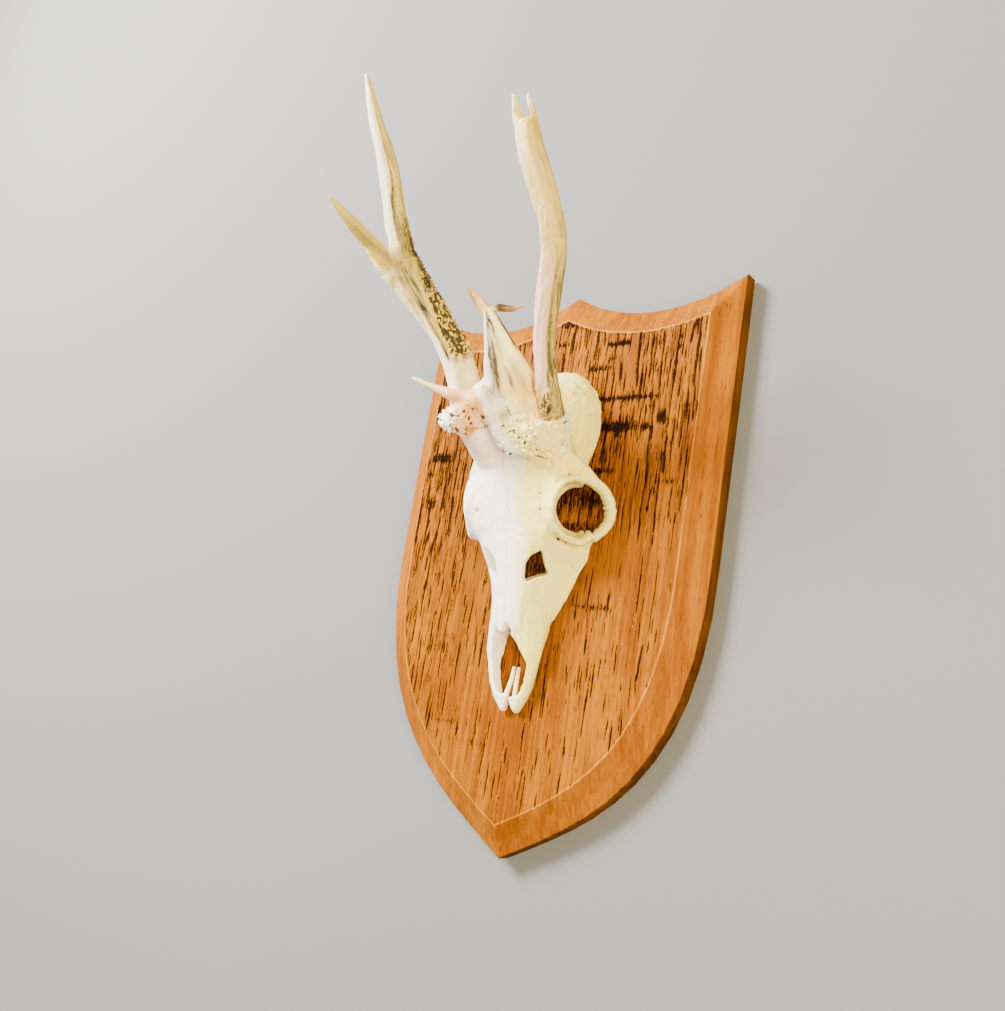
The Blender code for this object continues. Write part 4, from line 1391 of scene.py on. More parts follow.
@dataclass
class Skull:
    """The skull with its pedicles, coronets and the growth between the antlers."""

    voxel: float = 0.62  # mm
    foramina: tuple[Foramen, ...] = (
        Foramen(18.8, 23.2, 0.7, 1.3, 0.75, 0.7),
        Foramen(17.9, 25.8, 0.5, 0.9, 0.55, 0.7),
        Foramen(18.9, 20.6, 0.5, 0.8, 0.45, 0.6),
        Foramen(19.5, 15.2, 0.8, 1.1, 0.65, 0.9),
        Foramen(-22.0, 14.2, 1.1, 1.3, 0.45, 1.0),
        Foramen(26.9, 1.2, 0.9, 1.8, 1.0, 0.4),
        Foramen(28.7, 0.4, 0.9, 1.6, 0.8, 0.3),
    )
    # the suture down the middle: mm above the frontal's lower end, mm across from the centre line
    suture: tuple[tuple[float, float], ...] = (
        (-44.0, -1.9), (-26.0, -1.2), (-3.0, -1.7), (10.0, -2.6), (20.0, -3.5), (35.0, -5.4),
    )
    bones: tuple[str, ...] = (
        "premaxilla_left", "premaxilla_right", "maxilla_left", "maxilla_right", "cheekbone_left",
        "cheekbone_right", "nasals", "frontal", "braincase", "pedicle_left", "pedicle_right",
    )
    coronets: tuple[str, ...] = ("coronet_left", "coronet_right")
    growth: tuple[str, ...] = (
        "growth_base", "growth_upper_spike", "growth_side_spike", "growth_blade", "growth_hook",
    )
    # lumps where the left coronet spreads over the forehead, placed in its box, with their radii, mm
    spread: tuple[tuple[Shares, Shares], ...] = (
        ((0.40, 0.30, 0.84), (8.0, 7.5, 10.0)), ((0.32, 0.42, 0.20), (11.0, 7.0, 10.0)),
        ((0.60, 0.62, 0.28), (11.0, 8.0, 10.5)),
    )
    # the same for the growth's broad base, and the bars between its upper spike and its blade
    sheet: tuple[tuple[Shares, Shares], ...] = (
        ((0.30, 0.36, 0.62), (9.5, 6.5, 11.0)), ((0.52, 0.46, 0.32), (10.5, 6.0, 11.0)),
        ((0.22, 0.10, 0.78), (8.0, 6.0, 7.0)), ((0.46, 0.34, 0.38), (7.0, 5.0, 8.0)),
        ((0.60, 0.52, 0.16), (8.0, 5.0, 8.0)), ((0.30, 0.16, 0.54), (7.0, 5.0, 6.0)),
        ((0.16, 0.04, 0.62), (6.5, 4.5, 4.5)),
    )
    seam: Chain = (
        ((0.42, 0.20, 1.45), 2.2), ((0.56, 0.28, 1.01), 5.0), ((0.74, 0.34, 0.70), 6.5),
        ((0.84, 0.42, 0.42), 6.0),
    )
    rib: Chain = (
        ((0.505, -0.28, 1.66), 1.1), ((0.45, -0.10, 1.36), 2.3), ((0.40, 0.02, 1.10), 3.6),
        ((0.37, 0.18, 0.82), 4.8),
    )
    prongs: tuple[Trim, ...] = (
        Trim("premaxilla_left", 8.0, ((0.0, 2.9, 4.9), (2.0, 2.1, 6.4), (4.0, 1.6, 7.5), (8.0, 0.7, 9.7))),
        Trim(
            "premaxilla_right", 8.0,
            ((0.0, 10.78, 13.08), (2.0, 9.48, 14.28), (4.0, 8.48, 15.28), (8.0, 6.98, 15.98)),
        ),
    )
    socket: Socket = Socket()

    def build(self, frame: dict[str, Any], material: bpy.types.Material) -> bpy.types.Object:
        """Draws, carves and paints the skull.

        Args:
            frame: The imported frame.
            material: The bone's finish.

        Returns:
            The finished piece.
        """
        skin = Skin("skull", self.bones + self.coronets + self.growth, self.voxel)
        skin.draw(frame["nodes"], self._extras(frame["nodes"]), self.prongs)
        growth = skin.soften(skin.on(*self.growth), 3)
        axes = {solid: 0 if solid in ("growth_side_spike", "growth_hook") else 2 for solid in self.growth}
        lie = skin.lie(frame["nodes"], axes)
        thick = skin.soften(np.where(growth > 0.5, np.linalg.norm(lie.out, axis=1), 6.0), 4)
        crown = skin.soften(skin.on(*self.coronets), 3)
        skin.relax(np.clip(thick / 5.0, 0.15, 1.0), 45)
        crust = self._crust(skin)
        self._press(skin, frame["nodes"])
        fused = skin.on("coronet_left", "pedicle_left", "growth_base")
        fused += skin.on("growth_side_spike", "growth_upper_spike") * ramp(lie.along, 0.55, 0.25)
        fused += skin.on("growth_side_spike") * ramp(lie.along, 0.45, 0.75)
        fused = skin.soften(np.clip(fused, 0.0, 1.0), 8)
        skin.melt(np.clip(fused + 0.4 * skin.on("pedicle_right"), 0.0, 1.0) * ramp(thick, 0.8, 2.5), 84)
        skin.melt(skin.borders(5) * ramp(thick, 1.0, 3.0), 18)
        outer, inner = (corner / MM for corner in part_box("cheekbone_right"))
        cheek = ramp(skin.points[:, 0] - inner.x, 10.29, 4.29)
        cheek *= skin.on("cheekbone_right", "maxilla_right", "frontal")
        skin.melt(skin.soften(cheek * hump(skin.points[:, 2] - outer.z, 9.0), 4), 80)
        self.socket.open(skin)
        self._muzzle(skin)
        self._bone(skin, growth, crown, crust)
        self._growth(skin, lie, growth)
        self._burrs(skin, crust, growth)
        return skin.finish(material, "bone")

    def _extras(self, nodes: dict[str, bpy.types.Object]) -> bmesh.types.BMesh:
        """The lumps that fuse the antlers, the coronets and the growth to the forehead.

        Args:
            nodes: The frame's objects by name.

        Returns:
            The extra shapes.
        """
        extras = bmesh.new()
        for node, lumps in (("coronet_left", self.spread), ("growth_base", self.sheet)):
            for shares, radii in lumps:
                Boss(Vector(in_box(node, shares)), radii).add_to(extras)
        for chain in (self.seam, self.rib):
            add_chain(extras, "growth_base", chain)
        foot = Limb(nodes["antler_right_beam"]).line
        Boss(Vector(foot[1]), (9.5, 9.5, 10.0), Vector(foot[3] - foot[1])).add_to(extras)

        # the plate of bone beside the nose opening
        nose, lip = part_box("nasals"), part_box("maxilla_left")
        corners = (
            Vector((nose[0].x + 11.0 * MM, nose[0].y + 10.0 * MM, nose[0].z + 3.0 * MM)),
            Vector((nose[1].x + 2.5 * MM, nose[0].y + 12.0 * MM, nose[0].z + 6.0 * MM)),
            Vector((lip[0].x + 1.6 * MM, lip[1].y - 7.5 * MM, lip[0].z - 0.5 * MM)),
        )
        plate = extras.faces.new([extras.verts.new(corner) for corner in corners])
        walls = bmesh.ops.extrude_face_region(extras, geom=[plate])["geom"]
        moved = [part for part in walls if isinstance(part, bmesh.types.BMVert)]
        bmesh.ops.translate(extras, verts=moved, vec=Vector((0.0, 2.6 * MM, 0.0)))
        bmesh.ops.recalc_face_normals(extras, faces=extras.faces)
        return extras

    def _press(self, skin: Skin, nodes: dict[str, bpy.types.Object]) -> None:
        """Presses the far side of the left coronet in towards the beam.

        Args:
            skin: The skull's skin.
            nodes: The frame's objects by name.
        """
        beam = Limb(nodes["antler_left_beam"]).line
        way = (beam[4] - beam[1]) / np.linalg.norm(beam[4] - beam[1])
        away = skin.points - beam[1]
        out = away - (away @ way)[:, None] * way
        wide = np.linalg.norm(out, axis=1)
        far = ramp(out[:, 0], 1.0, 8.0) * skin.soften(skin.on("coronet_left"), 4)
        goal = np.minimum(wide, 9.0 + (wide - 9.0) * 0.25)
        skin.points += out * (far * (goal - wide) / (wide + 1e-6))[:, None]

    def _crust(self, skin: Skin) -> np.ndarray:
        """The rough zone where the left coronet spreads over the forehead.

        Args:
            skin: The skull's skin.

        Returns:
            1 inside the zone, fading to 0 beyond it.
        """
        middle = in_box("coronet_left", (0.54, 0.36, 0.30))
        reach = np.linalg.norm((skin.points - middle) / np.array([23.0, 19.0, 14.0]), axis=1)
        zone = ramp(reach + 0.18 * Grit.cloud(skin.points, 7.0, 61), 1.15, 0.75)
        place = shares_in("growth_base", skin.points)
        sheet = skin.on("growth_base") * ramp(place[:, 0] + 0.9 * place[:, 2], 1.42, 1.22)
        sheet *= ramp(place[:, 2], 0.06, 0.16)
        off = np.maximum(sheet, skin.on("growth_upper_spike", "growth_side_spike", "growth_blade"))
        return skin.soften(zone * (1.0 - off), 3)

    def _muzzle(self, skin: Skin) -> None:
        """Slims the two prongs at the muzzle's end and sharpens the tips.

        Args:
            skin: The skull's skin.
        """
        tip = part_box("premaxilla_left")[0].z / MM
        rise = skin.points[:, 2] - tip
        across = Midline().across(skin.points)
        for solid, sign, lean in (("premaxilla_left", 1.0, 0.2), ("premaxilla_right", -1.0, 2.0)):
            here = (skin.on(solid) > 0.5) & (rise > 8.5) & (sign * across < 5.2)
            if not here.any():
                continue
            middle = float(np.median(across[here]))
            slim = ramp(rise, 8.0, 23.0)
            shift = (across - middle) * -(0.10 + 0.42 * slim) + lean * ramp(rise, 7.0, 20.0)
            skin.points[:, 0] += np.where(here, shift, 0.0)
        # the notch between the nasal bones' tips
        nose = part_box("nasals")[0].z / MM
        height = skin.points[:, 2] - nose
        notch = hump(across + 0.9, 0.35 + 0.13 * np.clip(7.5 - height, 0.0, 8.0)) * ramp(height, 8.0, 5.5)
        notch *= skin.soften(skin.on("nasals"), 3) * ramp(-skin.normals()[:, 1], 0.0, 0.4)
        skin.points[:, 1] += 4.0 * notch
        skin.stain(notch, dirt=0.45, peach=0.5)
        # the wedge between the two tips
        near = skin.on("premaxilla_left", "premaxilla_right") > 0.5
        wedge = 0.4 * ramp(rise, 9.0, 0.5) * hump(np.abs(across), 3.6)
        skin.points[:, 0] += np.where(near, np.sign(across + 0.2) * wedge, 0.0)

    def _bone(self, skin: Skin, growth: np.ndarray, crown: np.ndarray, crust: np.ndarray) -> None:
        """Carves and paints the bones.

        Args:
            skin: The skull's skin.
            growth: 1 on the growth between the antlers.
            crown: 1 on the coronets.
            crust: 1 in the rough zone round the left coronet.
        """
        bone = np.clip(1.0 - growth - crown - crust, 0.0, 1.0)
        facing = -skin.normals()[:, 1]
        shown = ramp(facing, 0.15, 0.5) * bone
        line, low = Midline(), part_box("frontal")[0].z / MM
        rise = skin.points[:, 2] - low
        across = line.across(skin.points)

        height = 0.24 * Grit.cloud(skin.points, 9.0, 3) + 0.09 * Grit.cloud(skin.points, 1.9, 5)
        height *= bone

        # seams between the bones
        wander = np.stack([rise * 0, rise * 0, rise], 1)
        middle = np.interp(rise, *zip(*self.suture)) + 0.45 * Grit.waves(wander, 3.1, 41)
        middle += 0.22 * Grit.waves(wander, 1.2, 43)
        down = ramp(rise, 40.0, 16.0) * ramp(rise, -52.0, -46.0) * shown
        groove = hump(across - middle, 0.42) * down
        height -= 0.45 * groove
        skin.stain(groove, dirt=0.36 * ramp(rise, 30.0, 8.0))
        crest = hump(across - middle - 0.7, 2.0) * ramp(rise, 6.0, 22.0) * shown
        height += 0.95 * crest
        skin.stain(crest, peach=0.26)
        nasal = np.abs(across) - 9.2 + 0.4 * Grit.waves(wander, 2.6, 47)
        edge = hump(nasal, 0.4) * ramp(rise, -10.0, -16.0) * ramp(rise, -52.0, -46.0) * shown
        brow = rise + 0.2 - 0.28 * np.abs(across) + 0.5 * Grit.waves(skin.points[:, [0, 0, 0]], 1.6, 49)
        edge += hump(brow, 0.4) * ramp(np.abs(across), 10.0, 8.5) * shown
        height -= 0.22 * edge
        skin.stain(edge, cream=0.35, dirt=0.10)

        # the hollow in front of the socket, and the seam below it
        socket = self.socket.middle()
        pit = skin.points - socket - np.array([-6.5, 8.0, -30.0])
        hollow = hump(np.linalg.norm(pit / np.array([1.0, 1.3, 0.8]), axis=1), 7.5) * bone
        height -= 1.1 * hollow
        depth, wide, turn, _ = self.socket.measure(skin.points)
        lip = hump(wide - 19.0 - 0.5 * Grit.waves(skin.points, 4.0, 59), 1.1) * ramp(turn, -45.0, -60.0)
        lip *= ramp(turn, -170.0, -150.0) * ramp(np.abs(depth), 14.0, 9.0) * bone
        height += 0.45 * lip
        ring = hump(wide - 17.2, 1.0) * ramp(np.abs(turn + 105.0), 60.0, 35.0)
        height -= 0.35 * ring * ramp(np.abs(depth), 12.0, 8.0) * bone

        # small holes, and the streak of stain over the right brow
        for hole in self.foramina:
            reach = np.hypot(across - hole.across, (rise - hole.rise) * 0.85)
            front = ramp(facing, -0.1, 0.15)
            sunk = hump(reach, hole.radius) * front
            height -= hole.depth * sunk
            skin.stain(ramp(sunk, 0.35, 0.85), dirt=hole.dirt)
            skin.stain(hump(reach, hole.radius * 1.9) * front, peach=hole.peach)
        streak = hump(across + 24.9 + 0.16 * (rise - 24.0), 1.0) * shown
        streak *= ramp(np.abs(rise - 25.0), 7.0, 3.5)
        height -= 0.5 * streak
        skin.stain(streak, peach=0.65 * ramp(Grit.cloud(skin.points, 3.0, 64), -0.5, 0.3))

        # muscle ridges at the side of the braincase, and the double rim at its outer edge
        case = skin.soften(skin.on("braincase"), 6)
        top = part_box("braincase")[1].z / MM
        turned = skin.points @ np.array([[0.8, 0.0, 0.3], [0.0, 1.0, 0.0], [-0.5, 0.0, 0.9]])
        ridges = np.abs(Grit.cloud(turned * np.array([0.45, 1.0, 1.0]), 2.6, 53, 2))
        patch = hump(np.hypot(across - 18.0, (skin.points[:, 2] - (top - 21.0)) * 0.8), 9.5) * case
        height += patch * 1.5 * (ramp(ridges, 0.20, 0.0) - 0.25)
        skin.stain(patch, chalk=0.5 * ramp(ridges, 0.16, 0.02), peach=0.25 * ramp(ridges, 0.3, 0.5))
        rim = skin.points[:, 1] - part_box("braincase")[1].y / MM
        height -= 0.4 * hump(rim + 10.4, 0.8) * case * ramp(skin.points[:, 2], top - 34.0, top - 18.0)
        height += 0.10 * Grit.cloud(skin.points * np.array([1.0, 1.0, 0.12]), 1.6, 55) * case

        self._stains(skin, bone, growth)
        skin.raise_by(height)

    def _stains(self, skin: Skin, bone: np.ndarray, growth: np.ndarray) -> None:
        """Paints the broad stains on the bones, and painted light: white and lilac on the deer's right half,
        where the key light falls, and cream on its left half and braincase as painted warm light.

        Args:
            skin: The skull's skin.
            bone: 1 on the bones.
            growth: 1 on the growth between the antlers.
        """
        facing = -skin.normals()[:, 1]
        rise = skin.points[:, 2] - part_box("frontal")[0].z / MM
        across = Midline().across(skin.points)
        # painted light: cream on the deer's left half for the warm fill light, chalk and lilac on its right
        # half for the key light
        cream = 0.04 + 0.88 * ramp(across, -1.0, 14.0) + 0.25 * ramp(rise, -30.0, -55.0)
        cream += 0.18 * ramp(Grit.cloud(skin.points, 22.0, 63), 0.0, 0.7)
        cream += 0.30 * hump(np.hypot(across - 7.0, rise - 22.0), 10.0)
        blush = ramp(Grit.cloud(skin.points, 9.0, 69), 0.35, 0.7) * ramp(rise, 8.0, 40.0)
        chalk, lilac = 0.5 * ramp(across, 1.0, -6.0), 0.10 * ramp(across, 6.0, -6.0)
        skin.stain(bone, cream=cream, chalk=chalk, peach=0.30 * blush, lilac=lilac)
        # painted warm light on the braincase, as on the deer's left half
        skin.stain(skin.soften(skin.on("braincase"), 6), cream=0.40)
        pedicle = skin.soften(skin.on("pedicle_right"), 8) * bone
        skin.stain(pedicle, peach=0.75 * ramp(Grit.cloud(skin.points, 8.0, 65), -0.6, 0.3))
        near_growth = skin.soften(growth, 40) * bone
        skin.stain(near_growth, peach=0.5 * ramp(Grit.cloud(skin.points, 6.0, 67), -0.2, 0.5))
        # painted shade: the walls inside the nose, tinted peach and lilac where they lie in shade
        inside = ramp(np.abs(facing), 0.5, 0.2) * ramp(rise, -42.0, -50.0) * ramp(np.abs(across), 12.0, 9.0)
        skin.stain(inside, peach=0.45, lilac=0.40)

    def _growth(self, skin: Skin, lie: Lie, growth: np.ndarray) -> None:
        """Carves and paints the growth between the antlers.

        Args:
            skin: The skull's skin.
            lie: Where its points lie on their limbs.
            growth: 1 on the growth.
        """
        along = lie.along
        base, spike = skin.on("growth_base"), skin.on("growth_upper_spike")
        side, blade = skin.on("growth_side_spike"), skin.on("growth_blade")
        hook = skin.on("growth_hook")
        inner = lie.side(INNER_SHADED_SIDE) + 0.2 * Grit.cloud(skin.grain, 3.5, 77)
        thick = np.linalg.norm(lie.out, axis=1)
        lines = Grit.cloud(skin.grain, 2.0, 79, 3)
        fine = Grit.cloud(skin.grain, 1.1, 80, 3)
        skin.raise_by(growth * ramp(thick, 1.5, 4.0) * 0.28 * lines * (1.0 - 0.6 * base))

        # the bar beside the upper spike is painted like the blade
        bar = spike * ramp(thick - np.interp(along, (0.0, 1.0), (6.4, 1.3)), 0.0, 0.9)
        bar *= ramp(inner, 0.15, 0.4)
        spike, blade = spike * (1.0 - bar), np.maximum(blade, bar)

        # the blade is hollowed along its inner side
        hollow = skin.soften(skin.on("growth_blade") * ramp(inner, -0.2, 0.7) * hump(along - 0.42, 0.42), 4)
        skin.points[:, 0] -= 3.0 * hollow

        # the upper spike: lilac as painted cool light on the deer's right, where the key light falls, dark
        # brown on its left, away from the light, with a black groove
        spike = spike * ramp(along, 0.10, 0.30)
        groove = hump(inner - 0.62, 0.20) * spike * ramp(along, 0.98, 0.6)
        skin.raise_by(-0.7 * skin.soften(groove, 2))
        skin.stain(groove, dirt=0.95)
        skin.stain(
            spike,
            lilac=0.8 * ramp(inner, -0.40, -0.62),
            olive=ramp(inner, -0.55, -0.30) * (0.62 + 0.45 * ramp(fine, -0.3, 0.3)),
            peach=0.5 * ramp(inner, -0.35, -0.1) * ramp(along, 0.7, 0.2),
            speck=0.6 * ramp(inner, -0.25, 0.1),
            dirt=0.5 * ramp(inner, 0.0, 0.4) * ramp(fine, -0.2, 0.35),
        )

        # the groove runs on between the base and the blade, with a flecked band beside it
        place = shares_in("growth_base", skin.points)
        run = place[:, 0] - (1.02 - 0.62 * place[:, 2])  # 0 on the slanting line down the base
        fissure = hump(run + 0.02 * lines, 0.028) * base * ramp(place[:, 2], 0.30, 0.5)
        skin.raise_by(-1.3 * skin.soften(fissure, 2))
        skin.stain(fissure, dirt=0.85)
        band = ramp(run, -0.34, -0.16) * ramp(run, 0.06, -0.02) * base * ramp(place[:, 2], 0.18, 0.4)
        skin.stain(band, olive=0.55 * ramp(fine, -0.4, 0.3), peach=0.5, speck=0.75)
        skin.stain(
            base * ramp(run, -0.12, -0.26),
            chalk=0.6,
            peach=0.18 + 0.30 * ramp(Grit.cloud(skin.points, 6.0, 85), -0.2, 0.5),
            lilac=0.45 * ramp(place[:, 2], 0.2, 0.8),
            speck=0.10,
        )
        skin.stain(base * ramp(run, 0.0, 0.08), cream=0.6)
        skin.stain(growth, cream=0.22)
        peach = 0.55 + 0.35 * ramp(along, 0.2, 0.9) + 0.5 * ramp(lines, 0.0, 0.5)
        skin.stain(side, peach=peach, speck=0.50)
        skin.stain(blade, cream=0.62, speck=0.05 + 0.62 * ramp(along, 0.72, 0.95))
        crack = hump(inner - 0.62, 0.14) * ramp(along, 0.35, 0.5) * ramp(along, 0.92, 0.8)
        skin.stain(blade * (1.0 - bar), peach=0.95 * ramp(along, 0.72, 0.90), dirt=0.85 * crack)
        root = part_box("growth_hook")[1].x / MM - skin.points[:, 0]  # the way from the hook's root, mm
        skin.stain(hook, dirt=0.5 * ramp(root, 2.76, 8.76), olive=0.80 * ramp(root, 0.76, 4.76))
        skin.stain(hook, peach=0.9, speck=0.3)

    def _burrs(self, skin: Skin, crust: np.ndarray, growth: np.ndarray) -> None:
        """Raises the coronets' lumps and pits, and paints them.

        Args:
            skin: The skull's skin.
            crust: 1 in the rough zone round the left coronet.
            growth: 1 on the growth.
        """
        right = skin.soften(skin.on("coronet_right"), 3)
        rise = skin.points[:, 2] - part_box("growth_base")[0].z / MM
        rim = ramp(rise, 9.0, 4.0) * growth
        rim = np.maximum(rim, 0.7 * skin.soften((rise < 6.0) * growth, 10))
        tip = shares_in("coronet_left", skin.points) - np.array([0.38, 0.20, 0.95])
        tip *= np.array([1.8, 1.2, 1.3])
        cone = skin.soften(hump(np.linalg.norm(tip, axis=1), 0.50), 2)
        rough = np.clip(crust * (1.0 - 1.1 * cone) + right + 0.8 * rim, 0.0, 1.0)

        place = skin.points + 1.1 * np.stack([Grit.waves(skin.points, 3.4, 301 + k) for k in range(3)], 1)
        near, following, own = Grit.pebbles(place, 3.6, 31)
        gap = following - near
        small, beyond, part = Grit.pebbles(place, 1.9, 57)
        lumps = 1.7 * ramp(gap, 0.0, 0.55) * (0.15 + own)
        lumps += 0.55 * ramp(beyond - small, 0.0, 0.5) * (0.3 + part)
        skin.raise_by(rough * (lumps - 0.85))
        skin.blend(4)
        pits = ramp(Grit.cloud(skin.points, 2.6, 93, 2), 0.62, 0.85) * rough
        skin.raise_by(-0.9 * pits)
        skin.stain(pits, dirt=0.9)
        skin.stain(
            rough,
            dirt=0.45 * ramp(gap, 0.08, 0.0) * ramp(part, 0.6, 0.85),
            chalk=0.35 * ramp(own, 0.5, 1.0) * ramp(gap, 0.2, 0.6),
        )
        left = crust * (1.0 - right)
        skin.masks["lilac"] *= 1.0 - 0.5 * left
        skin.stain(left, cream=0.85, peach=0.35 * ramp(gap, 0.25, 0.0), speck=0.08)
        skin.stain(cone, peach=0.85, speck=0.12)
        brown = ramp(Grit.cloud(skin.points, 6.0, 45), -0.05, 0.45)
        inner = ramp(shares_in("coronet_right", skin.points)[:, 0], 0.42, 0.72) * right
        skin.stain(right, peach=0.95 * brown, speck=0.35 * brown, chalk=0.8 * (1.0 - brown) * (1.0 - inner))
        skin.stain(inner, peach=0.75, speck=0.5)


# ---------------- shield


class Surface(Enum):
    """The board's surfaces: the number of each one's finish, and how squarely it must face the room."""

    FACE = 0, 0.9985
    ARRIS = 3, 0.925
    CHAMFER = 1, 0.80
    EDGE = 2, -2.0

    def __init__(self, slot: int, least: float) -> None:
        """Keeps the finish's number and the bound."""
        self.slot, self.least = slot, least


@dataclass(frozen=True)
class OakFinish:
    """Varnished oak on one surface of the board."""

    name: str
    pale: Colour
    deep: Colour
    pore: Colour
    density: float  # how many of the fine pores are open, from 0 to 1
    roughness: float
    relief: float  # the bump's depth, mm
    coat: float = 0.0
    sheen: float = 0.02

    def material(self, group: bpy.types.NodeTree) -> bpy.types.Material:
        """The finish as a material.

        Args:
            group: The oak grain group.

        Returns:
            The new material.
        """
        material, graph, shader = new_material(self.name)
        sockets = {
            "Place": graph.node("ShaderNodeTexCoord").outputs["Object"],
            "Pale Colour": paint(self.pale),
            "Deep Colour": paint(self.deep),
            "Pore Colour": paint(self.pore),
            "Density": graph.times(graph.attribute("pores").outputs["Fac"], self.density),
            "Crack": graph.attribute("crack").outputs["Fac"],
            "Burn": graph.attribute("burn").outputs["Fac"],
            "Dullness": self.roughness,
        }
        graph.dress(shader, group, sockets, self.relief)
        shader.inputs["Specular IOR Level"].default_value = self.sheen
        shader.inputs["Coat Weight"].default_value = self.coat
        shader.inputs["Coat Roughness"].default_value = 0.25
        return material


def oak_group() -> bpy.types.NodeTree:
    """The group that lays grain, torn cracks, scorches, painted shade and fine pores over oak.

    Returns:
        The node group.
    """
    inputs: dict[str, Any] = {"Place": (0.0, 0.0, 0.0)}
    inputs.update({f"{label} Colour": WHITE for label in ("Pale", "Deep", "Pore")})
    inputs.update({"Density": 0.5, "Crack": 0.0, "Burn": 0.0, "Dullness": 0.4})
    g, i, result = new_group("oak_grain", inputs)
    sway = g.node(
        "ShaderNodeTexNoise",
        {"Vector": g.stretch(i["Place"], (14.0, 14.0, 9.0)), "Scale": 1.0, "Detail": 2.0},
        noise_dimensions="3D",
    )
    bend = g.node(
        "ShaderNodeVectorMath", {0: sway.outputs["Color"], 1: (0.5, 0.5, 0.5)}, operation="SUBTRACT"
    ).outputs["Vector"]
    bend = g.stretch(bend, (0.006, 0.0, 0.0))
    place = g.node("ShaderNodeVectorMath", {0: i["Place"], 1: bend}, operation="ADD").outputs["Vector"]

    band = g.noise(g.stretch(place, (110.0, 60.0, 5.0)), 1.0, 3.0, 0.6)
    fibre = g.noise(g.stretch(place, (1250.0, 700.0, 40.0)), 1.0, 4.0, 0.65)
    line = g.noise(g.stretch(place, (430.0, 300.0, 11.0)), 1.0, 3.0, 0.6)
    patch = g.noise(i["Place"], 26.0, 3.0)
    tone = g.add(g.times(band, 0.55), g.times(fibre, 0.45), g.swing(line, 0.7), g.swing(patch, 0.5))
    colour = g.mix(g.rise(tone, 0.30, 0.72), i["Deep Colour"], i["Pale Colour"])

    # cracks with torn edges, a brown halo, and a pale lip that is a painted highlight of the varnish beside
    # them
    ragged = g.noise(g.stretch(i["Place"], (1100.0, 1100.0, 620.0)), 1.0, 3.0, 0.65)
    torn = g.add(i["Crack"], g.swing(ragged, 0.9))
    open_crack = g.rise(torn, 0.60, 0.74)
    halo = g.times(g.rise(torn, 0.25, 0.62), g.less(1.0, open_crack))
    lip = g.times(g.rise(torn, 0.04, 0.16), g.rise(torn, 0.42, 0.24))
    lip = g.times(lip, g.rise(i["Crack"], 0.02, 0.08))
    colour = g.mix(g.times(lip, 0.7), colour, i["Pale Colour"])
    colour = g.mix(g.times(halo, 0.45), colour, i["Pore Colour"])

    slit = g.noise(g.stretch(place, (1350.0, 500.0, 48.0)), 1.0, 2.0, 0.5)
    bar = g.less(0.79, g.times(i["Density"], 0.23))
    pore = g.rise(g.less(slit, bar), 0.0, 0.05)

    # scorches, and painted shade on the board behind the skull's openings
    tick = g.noise(g.stretch(i["Place"], (1250.0, 1250.0, 210.0)), 1.0, 3.0, 0.7)
    singe_and_shade = g.add(i["Burn"], g.swing(tick, 3.0))
    char_and_shade = g.rise(singe_and_shade, 0.50, 0.72)
    brown = g.times(g.rise(singe_and_shade, 0.12, 0.6), 0.5)

    dark = g.math("MAXIMUM", open_crack, char_and_shade)
    for share in (g.times(pore, 0.72), brown, g.times(dark, 0.97)):
        colour = g.mix(share, colour, i["Pore Colour"])

    height = g.add(g.times(fibre, 0.30), g.times(line, 0.35))
    height = g.less(height, g.times(g.math("MAXIMUM", dark, pore), 0.55))
    height = g.add(height, g.times(lip, 0.10))
    rough = g.add(i["Dullness"], g.times(dark, 0.4), g.swing(fibre, 0.25), clamp=True)
    g.join({"Colour": colour, "Roughness": rough, "Height": height}, result)
    return g.tree


@dataclass(frozen=True)
class Tear:
    """One crack along the grain. Sizes in mm."""

    x: float
    z: float
    half: float  # half its length
    width: float  # half its width at the middle
    lean: float  # how far its upper end leans to the side, for each mm up


@dataclass(frozen=True)
class ScorchAndShadeMark:
    """One dark mark on the board: most are saw scorches across the grain, and the last ones in the table are
    painted shade behind the skull's openings.
    """

    across: float  # its place, as shares of the board's width and height
    up: float
    half_long: float  # mm
    half_tall: float  # mm
    strength: float = 1.0


